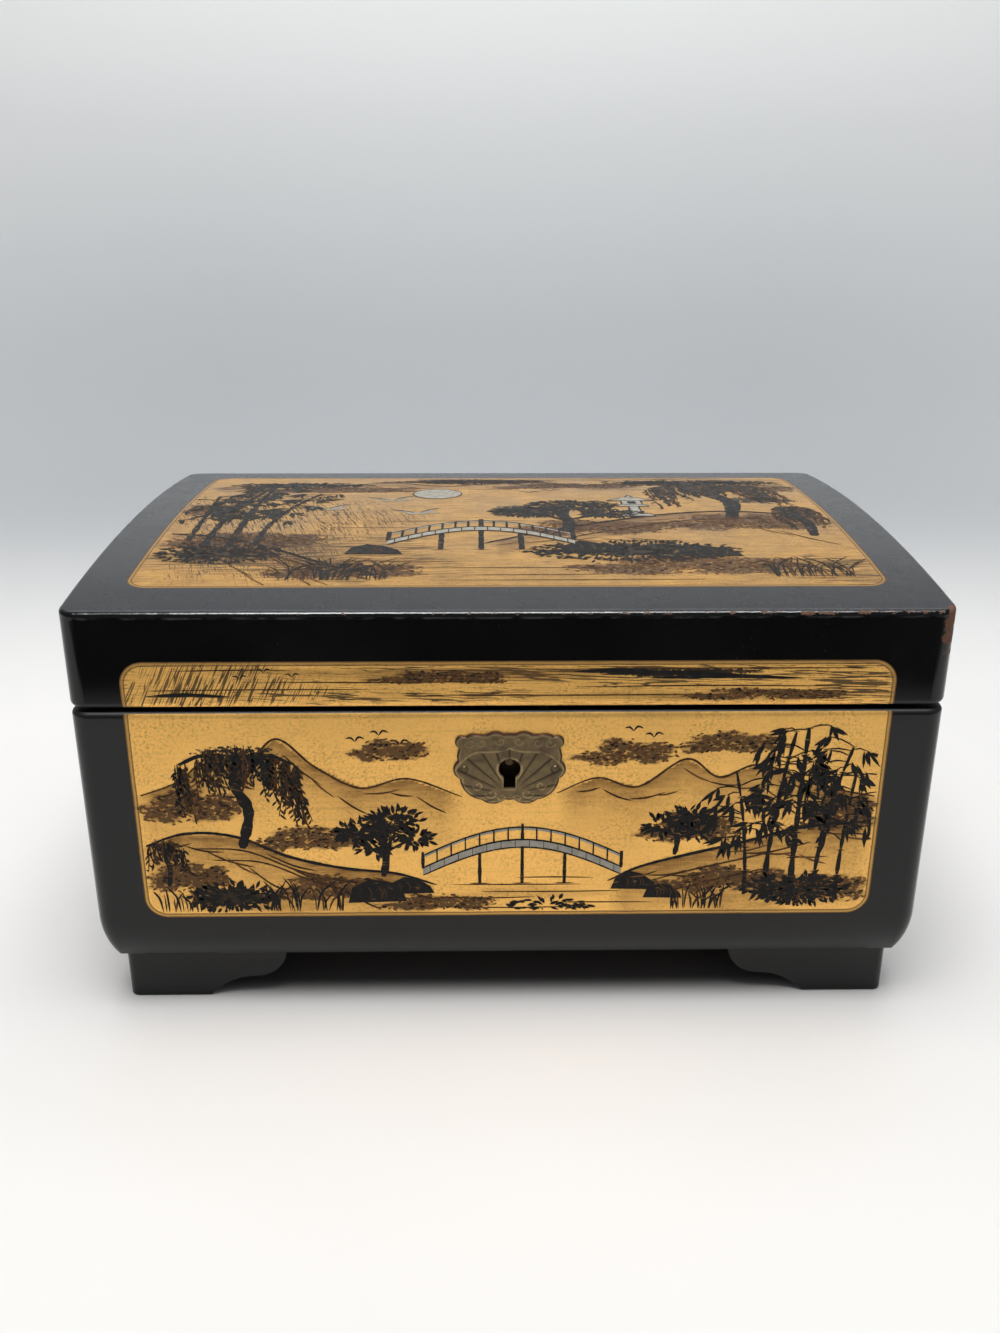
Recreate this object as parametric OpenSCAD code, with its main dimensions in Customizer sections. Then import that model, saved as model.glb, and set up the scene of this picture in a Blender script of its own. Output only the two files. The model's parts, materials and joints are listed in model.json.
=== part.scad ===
// Musical jewelry box: lacquered body and arched lid on bracket feet, with gilt grounds, a box lock,
// a lift-out tray and an 18-note cylinder movement that plays when the lid is raised.
// Frame: origin under the middle of the box on the table, X to the right, Y to the back, Z up.

/* [Box] */
// Width of the box, side to side
box_w = 254; // [240:1:300]
// Depth of the box, front to back
box_d = 178; // [170:1:220]
// Height of the body, from its lower edge to the seam
body_h = 84.5; // [80:0.5:110]
// Thickness of the walls of body and lid
wall_t = 10; // [9:0.5:12]
// Thickness of the bottom board
bottom_t = 5; // [4:0.5:8]
// Height of the bottom board above the lower edge
bottom_up = 2.5; // [1:0.5:5]
// Depth of the groove that holds the bottom board
groove_d = 3; // [2:0.5:4]
// Radius of the upright corners
corner_r = 5.5; // [5:0.5:9]
// How far the lower edge draws in
under_in = 4.5; // [2:0.5:4.5]
// Height over which the lower edge draws in
under_h = 15; // [8:0.5:20]
// Rounding of the outer edges along the seam
seam_r = 1.8; // [1.6:0.1:2.4]
// Gap between the body and the closed lid
seam_gap = 1; // [0.8:0.1:1.4]

/* [Lid] */
// Height of the lid's sides at the front and back
lid_side_h = 29; // [26:0.5:45]
// Rise of the arched top above its front and back edges
lid_rise = 5; // [3:0.5:8]
// Thickness of the arched top board
lid_top_t = 6; // [4:0.5:8]
// Thickness of the lining board in the lid
lid_lining_t = 2; // [1:0.5:4]
// Depth of the hollow in the lid, from its lower edge to the lining
lid_hollow = 18; // [15:0.5:19]

/* [Feet] */
// Height of the bracket feet
foot_h = 17; // [15:0.5:30]
// Length of a bracket at its top
foot_len = 51; // [44:1:70]
// Length of a bracket on the table
foot_toe = 26; // [18:1:30]
// Radius of the lobe at the inner end of a bracket
foot_lobe_r = 10; // [6:0.5:12]
// Thickness of a bracket
foot_t = 9; // [6:0.5:12]
// Distance of the feet from the side of the box
foot_in = 6; // [5:0.5:8]
// Radius of the outer corner of a foot
foot_corner_r = 3; // [1:0.5:5]

/* [Gilt grounds] */
// Thickness of the gilt grounds, let in flush
gilt_t = 0.4; // [0.3:0.05:0.8]
// Bare border beside the front grounds
gilt_side = 16; // [12:0.5:30]
// Bare border under the front ground
gilt_low = 16; // [15:0.5:30]
// Height of the ground on the lid's front
gilt_lid_h = 14.5; // [10:0.5:20]
// Bare border at the ends of the top ground
gilt_top_side = 14.5; // [10:0.5:30]
// Bare border at the front and back of the top ground
gilt_top_end = 17.5; // [12:0.5:30]
// Corner radius of the grounds
gilt_r = 7; // [3:0.5:9]

/* [Lock] */
// Depth of the keyhole under the seam
keyhole_drop = 18; // [17:0.5:22]
// Radius of the keyhole
keyhole_r = 3.2; // [2.6:0.1:4]
// Width of the slot under the keyhole
keyhole_slot = 3.5; // [2.5:0.1:4.5]
// Depth of the slot below the middle of the keyhole
keyhole_deep = 6.4; // [5:0.1:8]
// Width of the escutcheon
escutcheon_w = 33; // [28:0.5:38]
// Thickness of the escutcheon
escutcheon_t = 0.9; // [0.6:0.1:1.2]
// Width of the lock's plate
lock_w = 50; // [46:1:70]
// Height of the lock's plate
lock_h = 32; // [30:1:40]
// Depth of the lock's case in the front board
lock_t = 7; // [7:0.5:8]
// Travel of the bolt
bolt_travel = 5; // [4.5:0.5:5.5]

/* [Hinges] */
// Length of a hinge
hinge_len = 36; // [30:1:50]
// Distance of each hinge's middle from the side of the box
hinge_in = 55; // [42:1:70]
// Radius of the hinge knuckle
knuckle_r = 2.2; // [2:0.1:2.4]
// Radius of the hinge pin
pin_r = 1.1; // [0.8:0.1:1.3]
// Thickness of a hinge leaf
leaf_t = 1.5; // [1:0.1:1.6]
// Width of a hinge leaf
leaf_w = 8; // [7:0.5:9]

/* [Interior] */
// Height of the deck that carries the tray and the clear cover, above the floor
deck_h = 38; // [37:0.5:45]
// Distance of the partition's middle from the left wall
partition_in = 67; // [66:1:90]
// Thickness of the partition and the divider
partition_t = 4; // [3:0.5:6]
// Distance of the divider from the back wall
divider_in = 68; // [66:1:76]
// Height of the tray
tray_h = 26; // [20:0.5:32]
// Thickness of the tray's walls
tray_wall = 3.5; // [2.5:0.5:5]
// Thickness of the tray's floor
tray_floor = 2.5; // [2:0.5:4]
// Diameter of a ring roll
roll_d = 12; // [9:0.5:14]
// Number of ring rolls
roll_count = 4; // [2:1:5]
// Thickness of the velvet linings
lining_t = 1.2; // [0.8:0.1:2]
// Thickness of the clear cover
cover_t = 2.5; // [2:0.5:4]
// Width and height of the support rails
rail_w = 4; // [3:0.5:6]
// Length of the mirror
mirror_w = 170; // [120:5:190]
// Height of the mirror
mirror_d = 108; // [80:2:120]
// Thickness of the mirror
mirror_t = 2; // [2:0.5:3]

/* [Movement] */
// Distance of the winding arbor from the left wall
arbor_in_x = 45; // [44:0.5:50]
// Distance of the winding arbor from the back wall
arbor_in_y = 32; // [28:0.5:34]
// Radius of the spring barrel
barrel_r = 13; // [11:0.5:13]
// Height of the spring barrel
barrel_h = 14; // [12:0.5:15]
// Thickness of the bedplate
bed_t = 2; // [1.5:0.5:3]
// Radius of the winding arbor
arbor_r = 2; // [1.5:0.1:2.5]
// Radius of the pinned cylinder
cylinder_r = 6.5; // [5:0.1:6.6]
// Height of the pins on the cylinder
pin_h = 0.6; // [0.4:0.1:0.8]
// Number of notes in the comb
note_count = 18; // [12:1:24]
// Number of pins for each note
pins_per_note = 4; // [2:1:5]
// Width of the winding key's wings
key_w = 26; // [20:1:30]
// Height of the winding key's wings
key_h = 11; // [8:0.5:11]
// Lift of the stop rod as the lid opens
rod_lift = 3; // [2:0.5:4]

/* [Hidden] */
$fn = 64;
arch_fn = 720;
eps = 0.01;
fit_gap = 0.05;
loose_gap = 0.3;

// Levels from the table upwards
z_body = foot_h;
z_under = z_body + bottom_up;
z_floor = z_under + bottom_t;
z_seam = z_body + body_h;
z_lid = z_seam + seam_gap;
z_edge = z_lid + lid_side_h;
z_crest = z_edge + lid_rise;
z_deck = z_floor + deck_h;
z_lining = z_lid + lid_hollow;
z_lining_top = z_seam - 6;

// Inner faces of the walls
xi = box_w / 2 - wall_t;
yi = box_d / 2 - wall_t;

// Curve of the drawn-in lower edge and of the arched top
under_r = (under_h * under_h + under_in * under_in) / (2 * under_in);
arch_r = (box_d * box_d / 4 + lid_rise * lid_rise) / (2 * lid_rise);
z_arch = z_crest - arch_r;

// Keyhole, hinge axis and compartments
hinge_proud = 1.4;
z_key = z_seam - keyhole_drop;
plate_k = escutcheon_w / 33;
nail_x = 13.3 * plate_k;
nail_r = 1.3;
nail_shank_r = 0.5;
nail_proud = escutcheon_t + 0.5;
nail_len = wall_t - lock_t - loose_gap;
hinge_x = box_w / 2 - hinge_in;
hinge_y = box_d / 2 + hinge_proud - knuckle_r;
hinge_z = z_seam + seam_gap / 2;
part_x = -xi + partition_in;
well_x = part_x + partition_t / 2;
left_x = part_x - partition_t / 2;
div_y = yi - divider_in;
tray_gap = 0.8;
tray_x0 = well_x + lining_t + tray_gap;
tray_x1 = xi - lining_t - tray_gap;
tray_y = yi - lining_t - tray_gap;

// Lock and strike
lock_plate_t = 1.2;
selvage_t = 1.6;
case_w = lock_w - 14;
case_h = lock_h - 6;
case_wall = 1;
link_x = 10;
link_t = 3;
link_drop = 9;
bolt_h = 4;
bolt_top = 3.5;
bolt_t = 1.8;
bolt_y = (lock_t - case_wall + lock_plate_t) / 2;
strike_t = 1.4;

// Tooth counts and sizes of the movement's wheels
crown_teeth = 36;
crown_mean_r = 11;
crown_tooth_h = 1.3;
pinion_teeth = 10;
pinion_r = crown_mean_r * pinion_teeth / crown_teeth;
drive_teeth = 40;
drive_mod = 0.35;
drive_r = drive_mod * drive_teeth / 2;
governor_r = drive_mod * pinion_teeth / 2;
worm_teeth = 12;
worm_mod = 0.6;
worm_wheel_r = worm_mod * worm_teeth / 2;
worm_lead = PI * worm_mod;
worm_r = 1.3;
worm_off = 0.45;
worm_axis_gap = worm_wheel_r + 1.35;

// Places of the movement's axes
mx = -xi + arbor_in_x;
my = yi - arbor_in_y;
z_bed = z_floor + bed_t;
z_crown = z_bed + barrel_h + 0.4;
crown_t = 1.2;
z_mesh = z_crown + crown_t + 0.7;
z_cyl = z_mesh + pinion_r;
mesh_angle = -30;
gov_y = my + (drive_r + governor_r) * cos(mesh_angle);
gov_z = z_cyl + (drive_r + governor_r) * sin(mesh_angle);
fly_y = gov_y + worm_axis_gap;
spindle_r = 0.8;
fly_shaft_r = 0.6;
fly_wing_r = 4;

// Places along the cylinder, from the crown wheel to the left wall
pinion_x = mx - crown_mean_r;
pinion_len = 1.8;
cheek_t = 1.4;
right_cheek_x = mx - barrel_r - 2;
cyl_x1 = right_cheek_x - 0.6;
cyl_len = 15.4;
cyl_x0 = cyl_x1 - cyl_len;
gear_t = 1.2;
gear_x = cyl_x0 - 2.2;
left_cheek_x = gear_x - 2.4;
wheel_x = left_cheek_x - 1.9;
wheel_t = 0.9;
lug_x = wheel_x - 3.6;
note_pitch = cyl_len / note_count;
fly_x = wheel_x + wheel_t / 2;
z_fly_low = z_bed + 3;
z_fly_top = z_cyl + 11;
z_wing0 = z_cyl + 1.8;
wing_h = 7;

// Stop rod in its groove in the left board
rod_r = 1;
rod_x = -xi - 1.6;
rod_groove = 2 * (rod_r + loose_gap);
z_rod_arm = z_wing0 + wing_h / 2;

// Countersunk screws as [shank radius, head radius, length]
lock_screw = [1, 2, 5];
strike_screw = [1, 2, 8];
leaf_screw = [0.9, 1.9, 7];
comb_screw = [0.9, 1.7, 6];
bed_screw = [1.2, 2.2, bottom_t + bed_t + 0.8];

lacquer = [0.05, 0.045, 0.045];
gold = [0.78, 0.58, 0.3];
aged_brass = [0.36, 0.33, 0.22];
brass = [0.8, 0.62, 0.3];
steel = [0.7, 0.7, 0.72];
velvet = [0.5, 0.05, 0.08];
pale_wood = [0.62, 0.45, 0.28];

// Flat shapes

module rounded_rect(w, d, r) {
    square([w - 2 * r, d], center = true);
    square([w, d - 2 * r], center = true);
    for (sx = [-1, 1], sy = [-1, 1])
        translate([sx * (w / 2 - r), sy * (d / 2 - r)])
            circle(r);
}

// Half section of the body, from its middle to a side at distance a
module body_half_section(a) {
    translate([0, under_h])
        square([a, body_h - under_h - seam_r]);
    translate([0, under_h])
        square([a - seam_r, body_h - under_h]);
    translate([a - seam_r, body_h - seam_r])
        circle(seam_r);
    intersection() {
        square([a, under_h]);
        translate([a - under_r, under_h])
            circle(under_r, $fn = 256);
    }
    if (a > under_r)
        square([a - under_r, under_h]);
}

// Half section of the lid's rails, rounded along the seam
module lid_half_section(a) {
    h = lid_side_h + lid_rise;
    translate([0, seam_r])
        square([a, h - seam_r]);
    square([a - seam_r, h]);
    translate([a - seam_r, seam_r])
        circle(seam_r);
}

// A box with rounded upright corners whose sides all follow one half section
module swept_box() {
    for (s = [0, 1])
        mirror([s, 0, 0])
            rotate([90, 0, 0])
                linear_extrude(box_d - 2 * corner_r, center = true)
                    half_section_of($kind, box_w / 2);
    for (s = [0, 1])
        mirror([0, s, 0])
            rotate([90, 0, 90])
                linear_extrude(box_w - 2 * corner_r, center = true)
                    half_section_of($kind, box_d / 2);
    for (sx = [-1, 1], sy = [-1, 1])
        translate([sx * (box_w / 2 - corner_r), sy * (box_d / 2 - corner_r), 0])
            rotate_extrude()
                intersection() {
                    square([corner_r, body_h + lid_side_h + lid_rise]);
                    half_section_of($kind, corner_r);
                }
}

module half_section_of(kind, a) {
    if (kind == "body")
        body_half_section(a);
    else
        lid_half_section(a);
}

module body_form() {
    translate([0, 0, z_body])
        swept_box($kind = "body");
}

module arch_roll(r) {
    translate([0, 0, z_arch])
        rotate([0, 90, 0])
            cylinder(r = r, h = box_w + 2, center = true, $fn = arch_fn);
}

module lid_form() {
    intersection() {
        translate([0, 0, z_lid])
            swept_box($kind = "lid");
        arch_roll(arch_r);
    }
}

// Wedge between two mitre planes, for the wall on one side
module mitre_wedge(side) {
    reach = box_w;
    half_w = box_w / 2;
    half_d = box_d / 2;
    run = wall_t * 2;
    front = [[-half_w - 1, -half_d - 1], [half_w + 1, -half_d - 1],
        [half_w - run, -half_d + run], [-half_w + run, -half_d + run]];
    left = [[-half_w - 1, -half_d - 1], [-half_w + run, -half_d + run],
        [-half_w + run, half_d - run], [-half_w - 1, half_d + 1]];
    linear_extrude(reach) {
        if (side == "front")
            polygon(front);
        if (side == "back")
            mirror([0, 1])
                polygon(front);
        if (side == "left")
            polygon(left);
        if (side == "right")
            mirror([1, 0])
                polygon(left);
    }
}

module cavity() {
    translate([-xi, -yi, -1])
        cube([2 * xi, 2 * yi, z_crest + 2]);
}

module bottom_groove() {
    translate([-xi - groove_d, -yi - groove_d, z_under])
        cube([2 * (xi + groove_d), 2 * (yi + groove_d), bottom_t]);
}

module body_board(side) {
    difference() {
        intersection() {
            body_form();
            mitre_wedge(side);
        }
        cavity();
        bottom_groove();
    }
}

module lid_rail(side) {
    difference() {
        intersection() {
            translate([0, 0, z_lid])
                swept_box($kind = "lid");
            arch_roll(arch_r - lid_top_t);
            mitre_wedge(side);
        }
        cavity();
    }
}

// Countersunk screw pointing down from its head at the origin; grow widens it and deeper lengthens it
module screw(size, grow = 0, deeper = 0) {
    head_h = size[1] - size[0];
    len = size[2] + deeper;
    translate([0, 0, -head_h])
        cylinder(r1 = size[0] + grow, r2 = size[1] + grow, h = head_h);
    translate([0, 0, -len])
        cylinder(r = size[0] + grow, h = len - head_h + eps);
}

module screw_hole(size) {
    screw(size, fit_gap, 2 * fit_gap);
}

// Body boards

module front_ground_outline() {
    w = box_w - 2 * gilt_side;
    h = body_h - gilt_low - seam_r / 3;
    translate([0, z_body + gilt_low + h / 2]) {
        rounded_rect(w, h, gilt_r);
        translate([-w / 2, 0])
            square([w, h / 2]);
    }
}

// Recess for the front ground; it reaches out past the face of the board
module front_recess() {
    difference() {
        translate([0, -box_d / 2 + wall_t / 2, 0])
            rotate([90, 0, 0])
                linear_extrude(wall_t)
                    front_ground_outline();
        translate([0, gilt_t, 0])
            body_form();
    }
}

// Skin of the front board under the outline of its gilt ground
module front_ground() {
    intersection() {
        body_form();
        front_recess();
    }
}

module keyhole_shape(grow = 0) {
    circle(keyhole_r + grow);
    translate([-keyhole_slot / 2 - grow, -keyhole_deep - grow])
        square([keyhole_slot + 2 * grow, keyhole_deep + grow]);
}

module keyhole_cut(from_y, len) {
    translate([0, from_y, z_key])
        rotate([90, 0, 180])
            linear_extrude(len)
                keyhole_shape();
}

module nail(grow = 0) {
    rotate([90, 0, 0]) {
        translate([0, 0, escutcheon_t])
            intersection() {
                translate([0, 0, -nail_r + nail_proud - escutcheon_t])
                    sphere(nail_r);
                cylinder(r = nail_r, h = nail_r);
            }
        translate([0, 0, -nail_len])
            cylinder(r = nail_shank_r + grow, h = nail_len + escutcheon_t + eps);
    }
}

module nails(grow = 0) {
    for (sx = [-1, 1])
        translate([sx * nail_x, -box_d / 2, z_key])
            nail(grow);
}

// Places in the lock's own frame: middle of the inner face of the front board, at the seam
module at_lock() {
    translate([0, -yi, z_seam])
        children();
}

module lock_screw_places() {
    for (sx = [-1, 1], z = [-6, -lock_h + 5])
        translate([sx * (lock_w / 2 - 3.5), 0, z])
            rotate([-90, 0, 0])
                children();
}

module lock_mortise() {
    at_lock() {
        translate([-lock_w / 2, -lock_plate_t, -lock_h])
            cube([lock_w, lock_plate_t + 1, lock_h + 1]);
        translate([-lock_w / 2, -lock_t, -selvage_t])
            cube([lock_w, lock_t + 1, selvage_t + 1]);
        translate([-case_w / 2, -lock_t, -case_h])
            cube([case_w, lock_t, case_h + 1]);
        lock_screw_places()
            screw_hole(lock_screw);
    }
}

module front_board() {
    color(lacquer)
        difference() {
            body_board("front");
            front_recess();
            keyhole_cut(-box_d / 2 - 1, wall_t);
            lock_mortise();
            nails(fit_gap);
        }
}

module back_board() {
    color(lacquer)
        difference() {
            body_board("back");
            hinge_places() {
                leaf_mortise(-1);
                leaf_screws(-1, fit_gap);
            }
        }
}

module left_board() {
    color(lacquer)
        difference() {
            body_board("left");
            translate([rod_x - rod_groove / 2, fly_y - rod_groove / 2, z_rod_arm - rod_r - rod_lift])
                cube([rod_groove + wall_t / 2, rod_groove, z_seam]);
        }
}

module right_board() {
    color(lacquer)
        body_board("right");
}

module bottom_board() {
    w = 2 * (xi + groove_d);
    d = 2 * (yi + groove_d);
    color(pale_wood)
        difference() {
            translate([-w / 2, -d / 2, z_under])
                cube([w, d, bottom_t]);
            translate([mx, my, z_under - 1])
                cylinder(r = 6, h = bottom_t + 2);
            bed_screws(fit_gap);
        }
}

// Feet

module foot_profile() {
    lobe_x = foot_len - foot_lobe_r;
    lobe_z = foot_h - foot_lobe_r;
    run = lobe_x - foot_toe;
    cove_r = (run * run + lobe_z * lobe_z) / (2 * lobe_z);
    difference() {
        square([lobe_x, foot_h]);
        translate([lobe_x, lobe_z - cove_r])
            circle(cove_r, $fn = 128);
    }
    intersection() {
        translate([lobe_x - eps, lobe_z])
            square([foot_lobe_r + eps, foot_lobe_r]);
        translate([lobe_x, foot_h])
            circle(foot_lobe_r);
    }
}

module bracket_foot(sx, sy) {
    corner_x = box_w / 2 - foot_in;
    corner_y = box_d / 2 - foot_in;
    color(lacquer)
        mirror([sx > 0 ? 1 : 0, 0, 0])
            mirror([0, sy > 0 ? 1 : 0, 0])
                intersection() {
                    translate([-corner_x, -corner_y, 0]) {
                        translate([0, foot_t, 0])
                            rotate([90, 0, 0])
                                linear_extrude(foot_t)
                                    foot_profile();
                        rotate([90, 0, 90])
                            linear_extrude(foot_t)
                                foot_profile();
                    }
                    linear_extrude(foot_h)
                        rounded_rect(2 * corner_x, 2 * corner_y, foot_corner_r);
                }
}

// Gilt grounds and escutcheon

module gilt_panel_front() {
    color(gold)
        difference() {
            front_ground();
            keyhole_cut(-box_d / 2 - 1, wall_t);
            nails(fit_gap);
        }
}

// Lobed plate lying flat: a many-sided middle with round lobes, each [x, y, radius] on the right half
module escutcheon_blank() {
    half = [[0, 11], [9, 10.6], [14, 9.8], [15.4, 4], [14.4, -3.4], [9.8, -8.6], [0, -10.4]];
    lobes = [[13.3, -0.4, 3.2], [14, 8.4, 1.9], [7.2, -2.9, 7.4], [4.8, -6.7, 4.9], [10.4, 6.9, 4],
        [4.1, 7.4, 4.2]];
    for (sx = [0, 1])
        mirror([sx, 0, 0]) {
            linear_extrude(escutcheon_t)
                polygon(half * plate_k);
            for (lobe = lobes * plate_k)
                translate([lobe[0], lobe[1], 0])
                    cylinder(r = lobe[2], h = escutcheon_t);
        }
}

module escutcheon() {
    color(aged_brass)
        difference() {
            translate([0, -box_d / 2, z_key])
                rotate([90, 0, 0])
                    escutcheon_blank();
            keyhole_cut(-box_d / 2 - wall_t, 2 * wall_t);
            nails(fit_gap);
        }
}

module escutcheon_nails() {
    color(aged_brass)
        nails();
}

// Lock

module lock_case() {
    inner_w = case_w - 2 * case_wall;
    guide_h = 1.8;
    color(brass)
        difference() {
            at_lock() {
                translate([-lock_w / 2, -lock_plate_t, -lock_h])
                    cube([lock_w, lock_plate_t, lock_h]);
                difference() {
                    translate([-lock_w / 2, -lock_t, -selvage_t])
                        cube([lock_w, lock_t, selvage_t]);
                    translate([link_x - link_t / 2 - 0.5, -lock_t + case_wall - 0.2, -selvage_t - 1])
                        cube([link_t + 1, lock_t - case_wall - lock_plate_t, selvage_t + 2]);
                }
                difference() {
                    translate([-case_w / 2, -lock_t, -case_h])
                        cube([case_w, lock_t - lock_plate_t + eps, case_h - selvage_t + eps]);
                    translate([-inner_w / 2, -lock_t + case_wall, -case_h + case_wall])
                        cube([inner_w, lock_t, case_h]);
                    translate([0, -lock_t - 1, -keyhole_drop])
                        rotate([90, 0, 180])
                            linear_extrude(case_wall + 2)
                                keyhole_shape();
                }
                translate([0, 0, -keyhole_drop])
                    rotate([90, 0, 0])
                        cylinder(r = 1.2, h = lock_t - case_wall);
                translate([-inner_w / 2 - eps, -lock_t + case_wall - eps, -bolt_top - bolt_h - 0.2 - guide_h])
                    cube([case_w / 4, lock_t - case_wall - lock_plate_t + 2 * eps, guide_h]);
            }
            at_lock()
                lock_screw_places()
                    screw_hole(lock_screw);
        }
}

module lock_screws() {
    color(brass)
        at_lock()
            lock_screw_places()
                screw(lock_screw);
}

module lock_bolt() {
    rest_x = link_x - link_t / 2 - 0.7;
    left = -case_w / 2 + case_wall + 3;
    talon_w = 2 * (link_x - link_t / 2 - bolt_travel - loose_gap);
    talon_h = 6;
    notch_w = talon_w / 2;
    color(brass)
        at_lock()
            translate([0, -bolt_y - bolt_t / 2, -bolt_top - bolt_h])
                difference() {
                    union() {
                        translate([left, 0, 0])
                            cube([rest_x - left, bolt_t, bolt_h]);
                        translate([-talon_w / 2, 0, -talon_h])
                            cube([talon_w, bolt_t, talon_h + eps]);
                    }
                    translate([-notch_w / 2, -1, -talon_h - 1])
                        cube([notch_w, bolt_t + 2, 4.5]);
                }
}

// Hinges: side -1 is the leaf on the body, 1 the leaf on the lid

module hinge_places() {
    for (sx = [-1, 1])
        translate([sx * hinge_x, hinge_y, hinge_z])
            children();
}

// Knuckle spans of one leaf along the hinge; the body's leaf has the odd ones
module knuckle_spans(side) {
    step = hinge_len / 5;
    for (k = side < 0 ? [0, 2, 4] : [1, 3])
        translate([-hinge_len / 2 + k * step, 0, 0])
            rotate([0, 90, 0])
                children();
}

module leaf_plate(side, extra = 0) {
    low = side < 0 ? -seam_gap / 2 - leaf_t : seam_gap / 2;
    translate([-hinge_len / 2 - extra, -leaf_w, low])
        cube([hinge_len + 2 * extra, leaf_w, leaf_t]);
}

module leaf_mortise(side) {
    low = side < 0 ? -seam_gap / 2 - leaf_t : -seam_gap;
    translate([-hinge_len / 2, -leaf_w, low])
        cube([hinge_len, leaf_w + wall_t, leaf_t + 1.5 * seam_gap]);
    translate([-hinge_len / 2 - loose_gap, 0, 0])
        rotate([0, 90, 0])
            cylinder(r = knuckle_r + loose_gap, h = hinge_len + 2 * loose_gap);
}

module leaf_screws(side, grow = 0) {
    for (k = [-1, 0, 1])
        translate([k * hinge_len / 3, -leaf_w * 0.62, side * seam_gap / 2])
            rotate([side < 0 ? 0 : 180, 0, 0])
                screw(leaf_screw, grow, 2 * grow);
}

module hinge_leaf(side) {
    step = hinge_len / 5;
    side_gap = 0.1;
    color(brass)
        difference() {
            union() {
                difference() {
                    leaf_plate(side);
                    knuckle_spans(-side)
                        translate([0, 0, -side_gap])
                            cylinder(r = knuckle_r + loose_gap, h = step + 2 * side_gap);
                }
                knuckle_spans(side)
                    translate([0, 0, side_gap / 2])
                        cylinder(r = knuckle_r, h = step - side_gap);
            }
            translate([-hinge_len, 0, 0])
                rotate([0, 90, 0])
                    cylinder(r = pin_r + fit_gap, h = 2 * hinge_len);
            leaf_screws(side, fit_gap);
        }
}

module hinge_pin() {
    color(brass)
        translate([-hinge_len / 2, 0, 0])
            rotate([0, 90, 0])
                cylinder(r = pin_r, h = hinge_len);
}

module at_hinge(sx) {
    translate([sx * hinge_x, hinge_y, hinge_z])
        children();
}

module hinge_body_screws() {
    color(brass)
        hinge_places()
            leaf_screws(-1);
}

module hinge_lid_screws() {
    color(brass)
        hinge_places()
            leaf_screws(1);
}

// Linings, partitions and supports

module lining_floor() {
    color(velvet) {
        translate([well_x, -yi, z_floor])
            cube([xi - well_x, 2 * yi, lining_t]);
        translate([-xi, -yi, z_floor])
            cube([left_x + xi, div_y + yi, lining_t]);
    }
}

module lining_ring(x0, x1, y0, y1) {
    low = z_floor + lining_t;
    difference() {
        translate([x0, y0, low])
            cube([x1 - x0, y1 - y0, z_lining_top - low]);
        translate([x0 + lining_t, y0 + lining_t, low - 1])
            cube([x1 - x0 - 2 * lining_t, y1 - y0 - 2 * lining_t, z_lining_top]);
    }
}

module lining_walls() {
    notch_gap = 0.5;
    color(velvet)
        difference() {
            union() {
                lining_ring(well_x, xi, -yi, yi);
                lining_ring(-xi, left_x, -yi, div_y);
            }
            at_lock()
                translate([-lock_w / 2 - notch_gap, -1, -lock_h - notch_gap])
                    cube([lock_w + 2 * notch_gap, lining_t + 2, lock_h + 1]);
            translate([-xi + lining_t, div_y - lining_t - 1, z_deck])
                cube([left_x + xi - 2 * lining_t, lining_t + 2, z_seam]);
        }
}

module music_partition() {
    color(velvet)
        translate([left_x, -yi, z_floor])
            cube([partition_t, 2 * yi, z_lining_top - z_floor]);
}

module movement_divider() {
    color(velvet)
        translate([-xi, div_y, z_floor])
            cube([left_x + xi, partition_t, deck_h]);
}

module movement_cover() {
    finger_r = 5;
    color([0.85, 0.9, 0.92, 0.4])
        difference() {
            translate([-xi + loose_gap, div_y, z_deck])
                cube([left_x + xi - 2 * loose_gap, yi - div_y - loose_gap, cover_t]);
            translate([(left_x - xi) / 2, div_y + partition_t + 2 * finger_r, z_deck - 1])
                cylinder(r = finger_r, h = cover_t + 2);
        }
}

module support_rails() {
    span_y = yi - lining_t;
    color(velvet) {
        for (x = [well_x + lining_t, xi - lining_t - rail_w])
            translate([x, -span_y, z_deck - rail_w])
                cube([rail_w, 2 * span_y, rail_w]);
        translate([-xi, yi - rail_w, z_deck - rail_w])
            cube([left_x + xi, rail_w, rail_w]);
    }
}

// Tray with a bay for ring rolls in front and six bins behind

module tray_frame() {
    w = tray_x1 - tray_x0;
    bay_d = roll_count * roll_d;
    bins_y = -tray_y + 2 * tray_wall + bay_d;
    bins_d = tray_y - tray_wall - bins_y;
    bin_w = (w - 4 * tray_wall) / 3;
    bin_d = (bins_d - tray_wall) / 2;
    finger_r = 9;
    color(velvet)
        translate([tray_x0, 0, z_deck])
            difference() {
                translate([0, -tray_y, 0])
                    cube([w, 2 * tray_y, tray_h]);
                translate([tray_wall, -tray_y + tray_wall, tray_floor])
                    cube([w - 2 * tray_wall, bay_d, tray_h]);
                for (i = [0:2], j = [0:1])
                    translate([tray_wall + i * (bin_w + tray_wall),
                            bins_y + j * (bin_d + tray_wall), tray_floor])
                        cube([bin_w, bin_d, tray_h]);
                for (x = [-1, w - tray_wall - 1])
                    translate([x, bins_y + bins_d / 2 + bin_d / 2, tray_h + finger_r / 3])
                        rotate([0, 90, 0])
                            cylinder(r = finger_r, h = tray_wall + 2);
            }
}

module ring_rolls() {
    end_gap = 0.5;
    r = roll_d / 2 - loose_gap / 2;
    len = tray_x1 - tray_x0 - 2 * tray_wall - 2 * end_gap;
    end_r = 2;
    color(velvet)
        for (k = [0:roll_count - 1])
            translate([tray_x0 + tray_wall + end_gap, -tray_y + tray_wall + (k + 0.5) * roll_d,
                    z_deck + tray_floor + r + loose_gap])
                rotate([90, 0, 90])
                    rotate_extrude() {
                        square([r - end_r, len]);
                        translate([0, end_r])
                            square([r, len - 2 * end_r]);
                        for (z = [end_r, len - end_r])
                            translate([r - end_r, z])
                                circle(end_r);
                    }
}

// Lid

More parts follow.
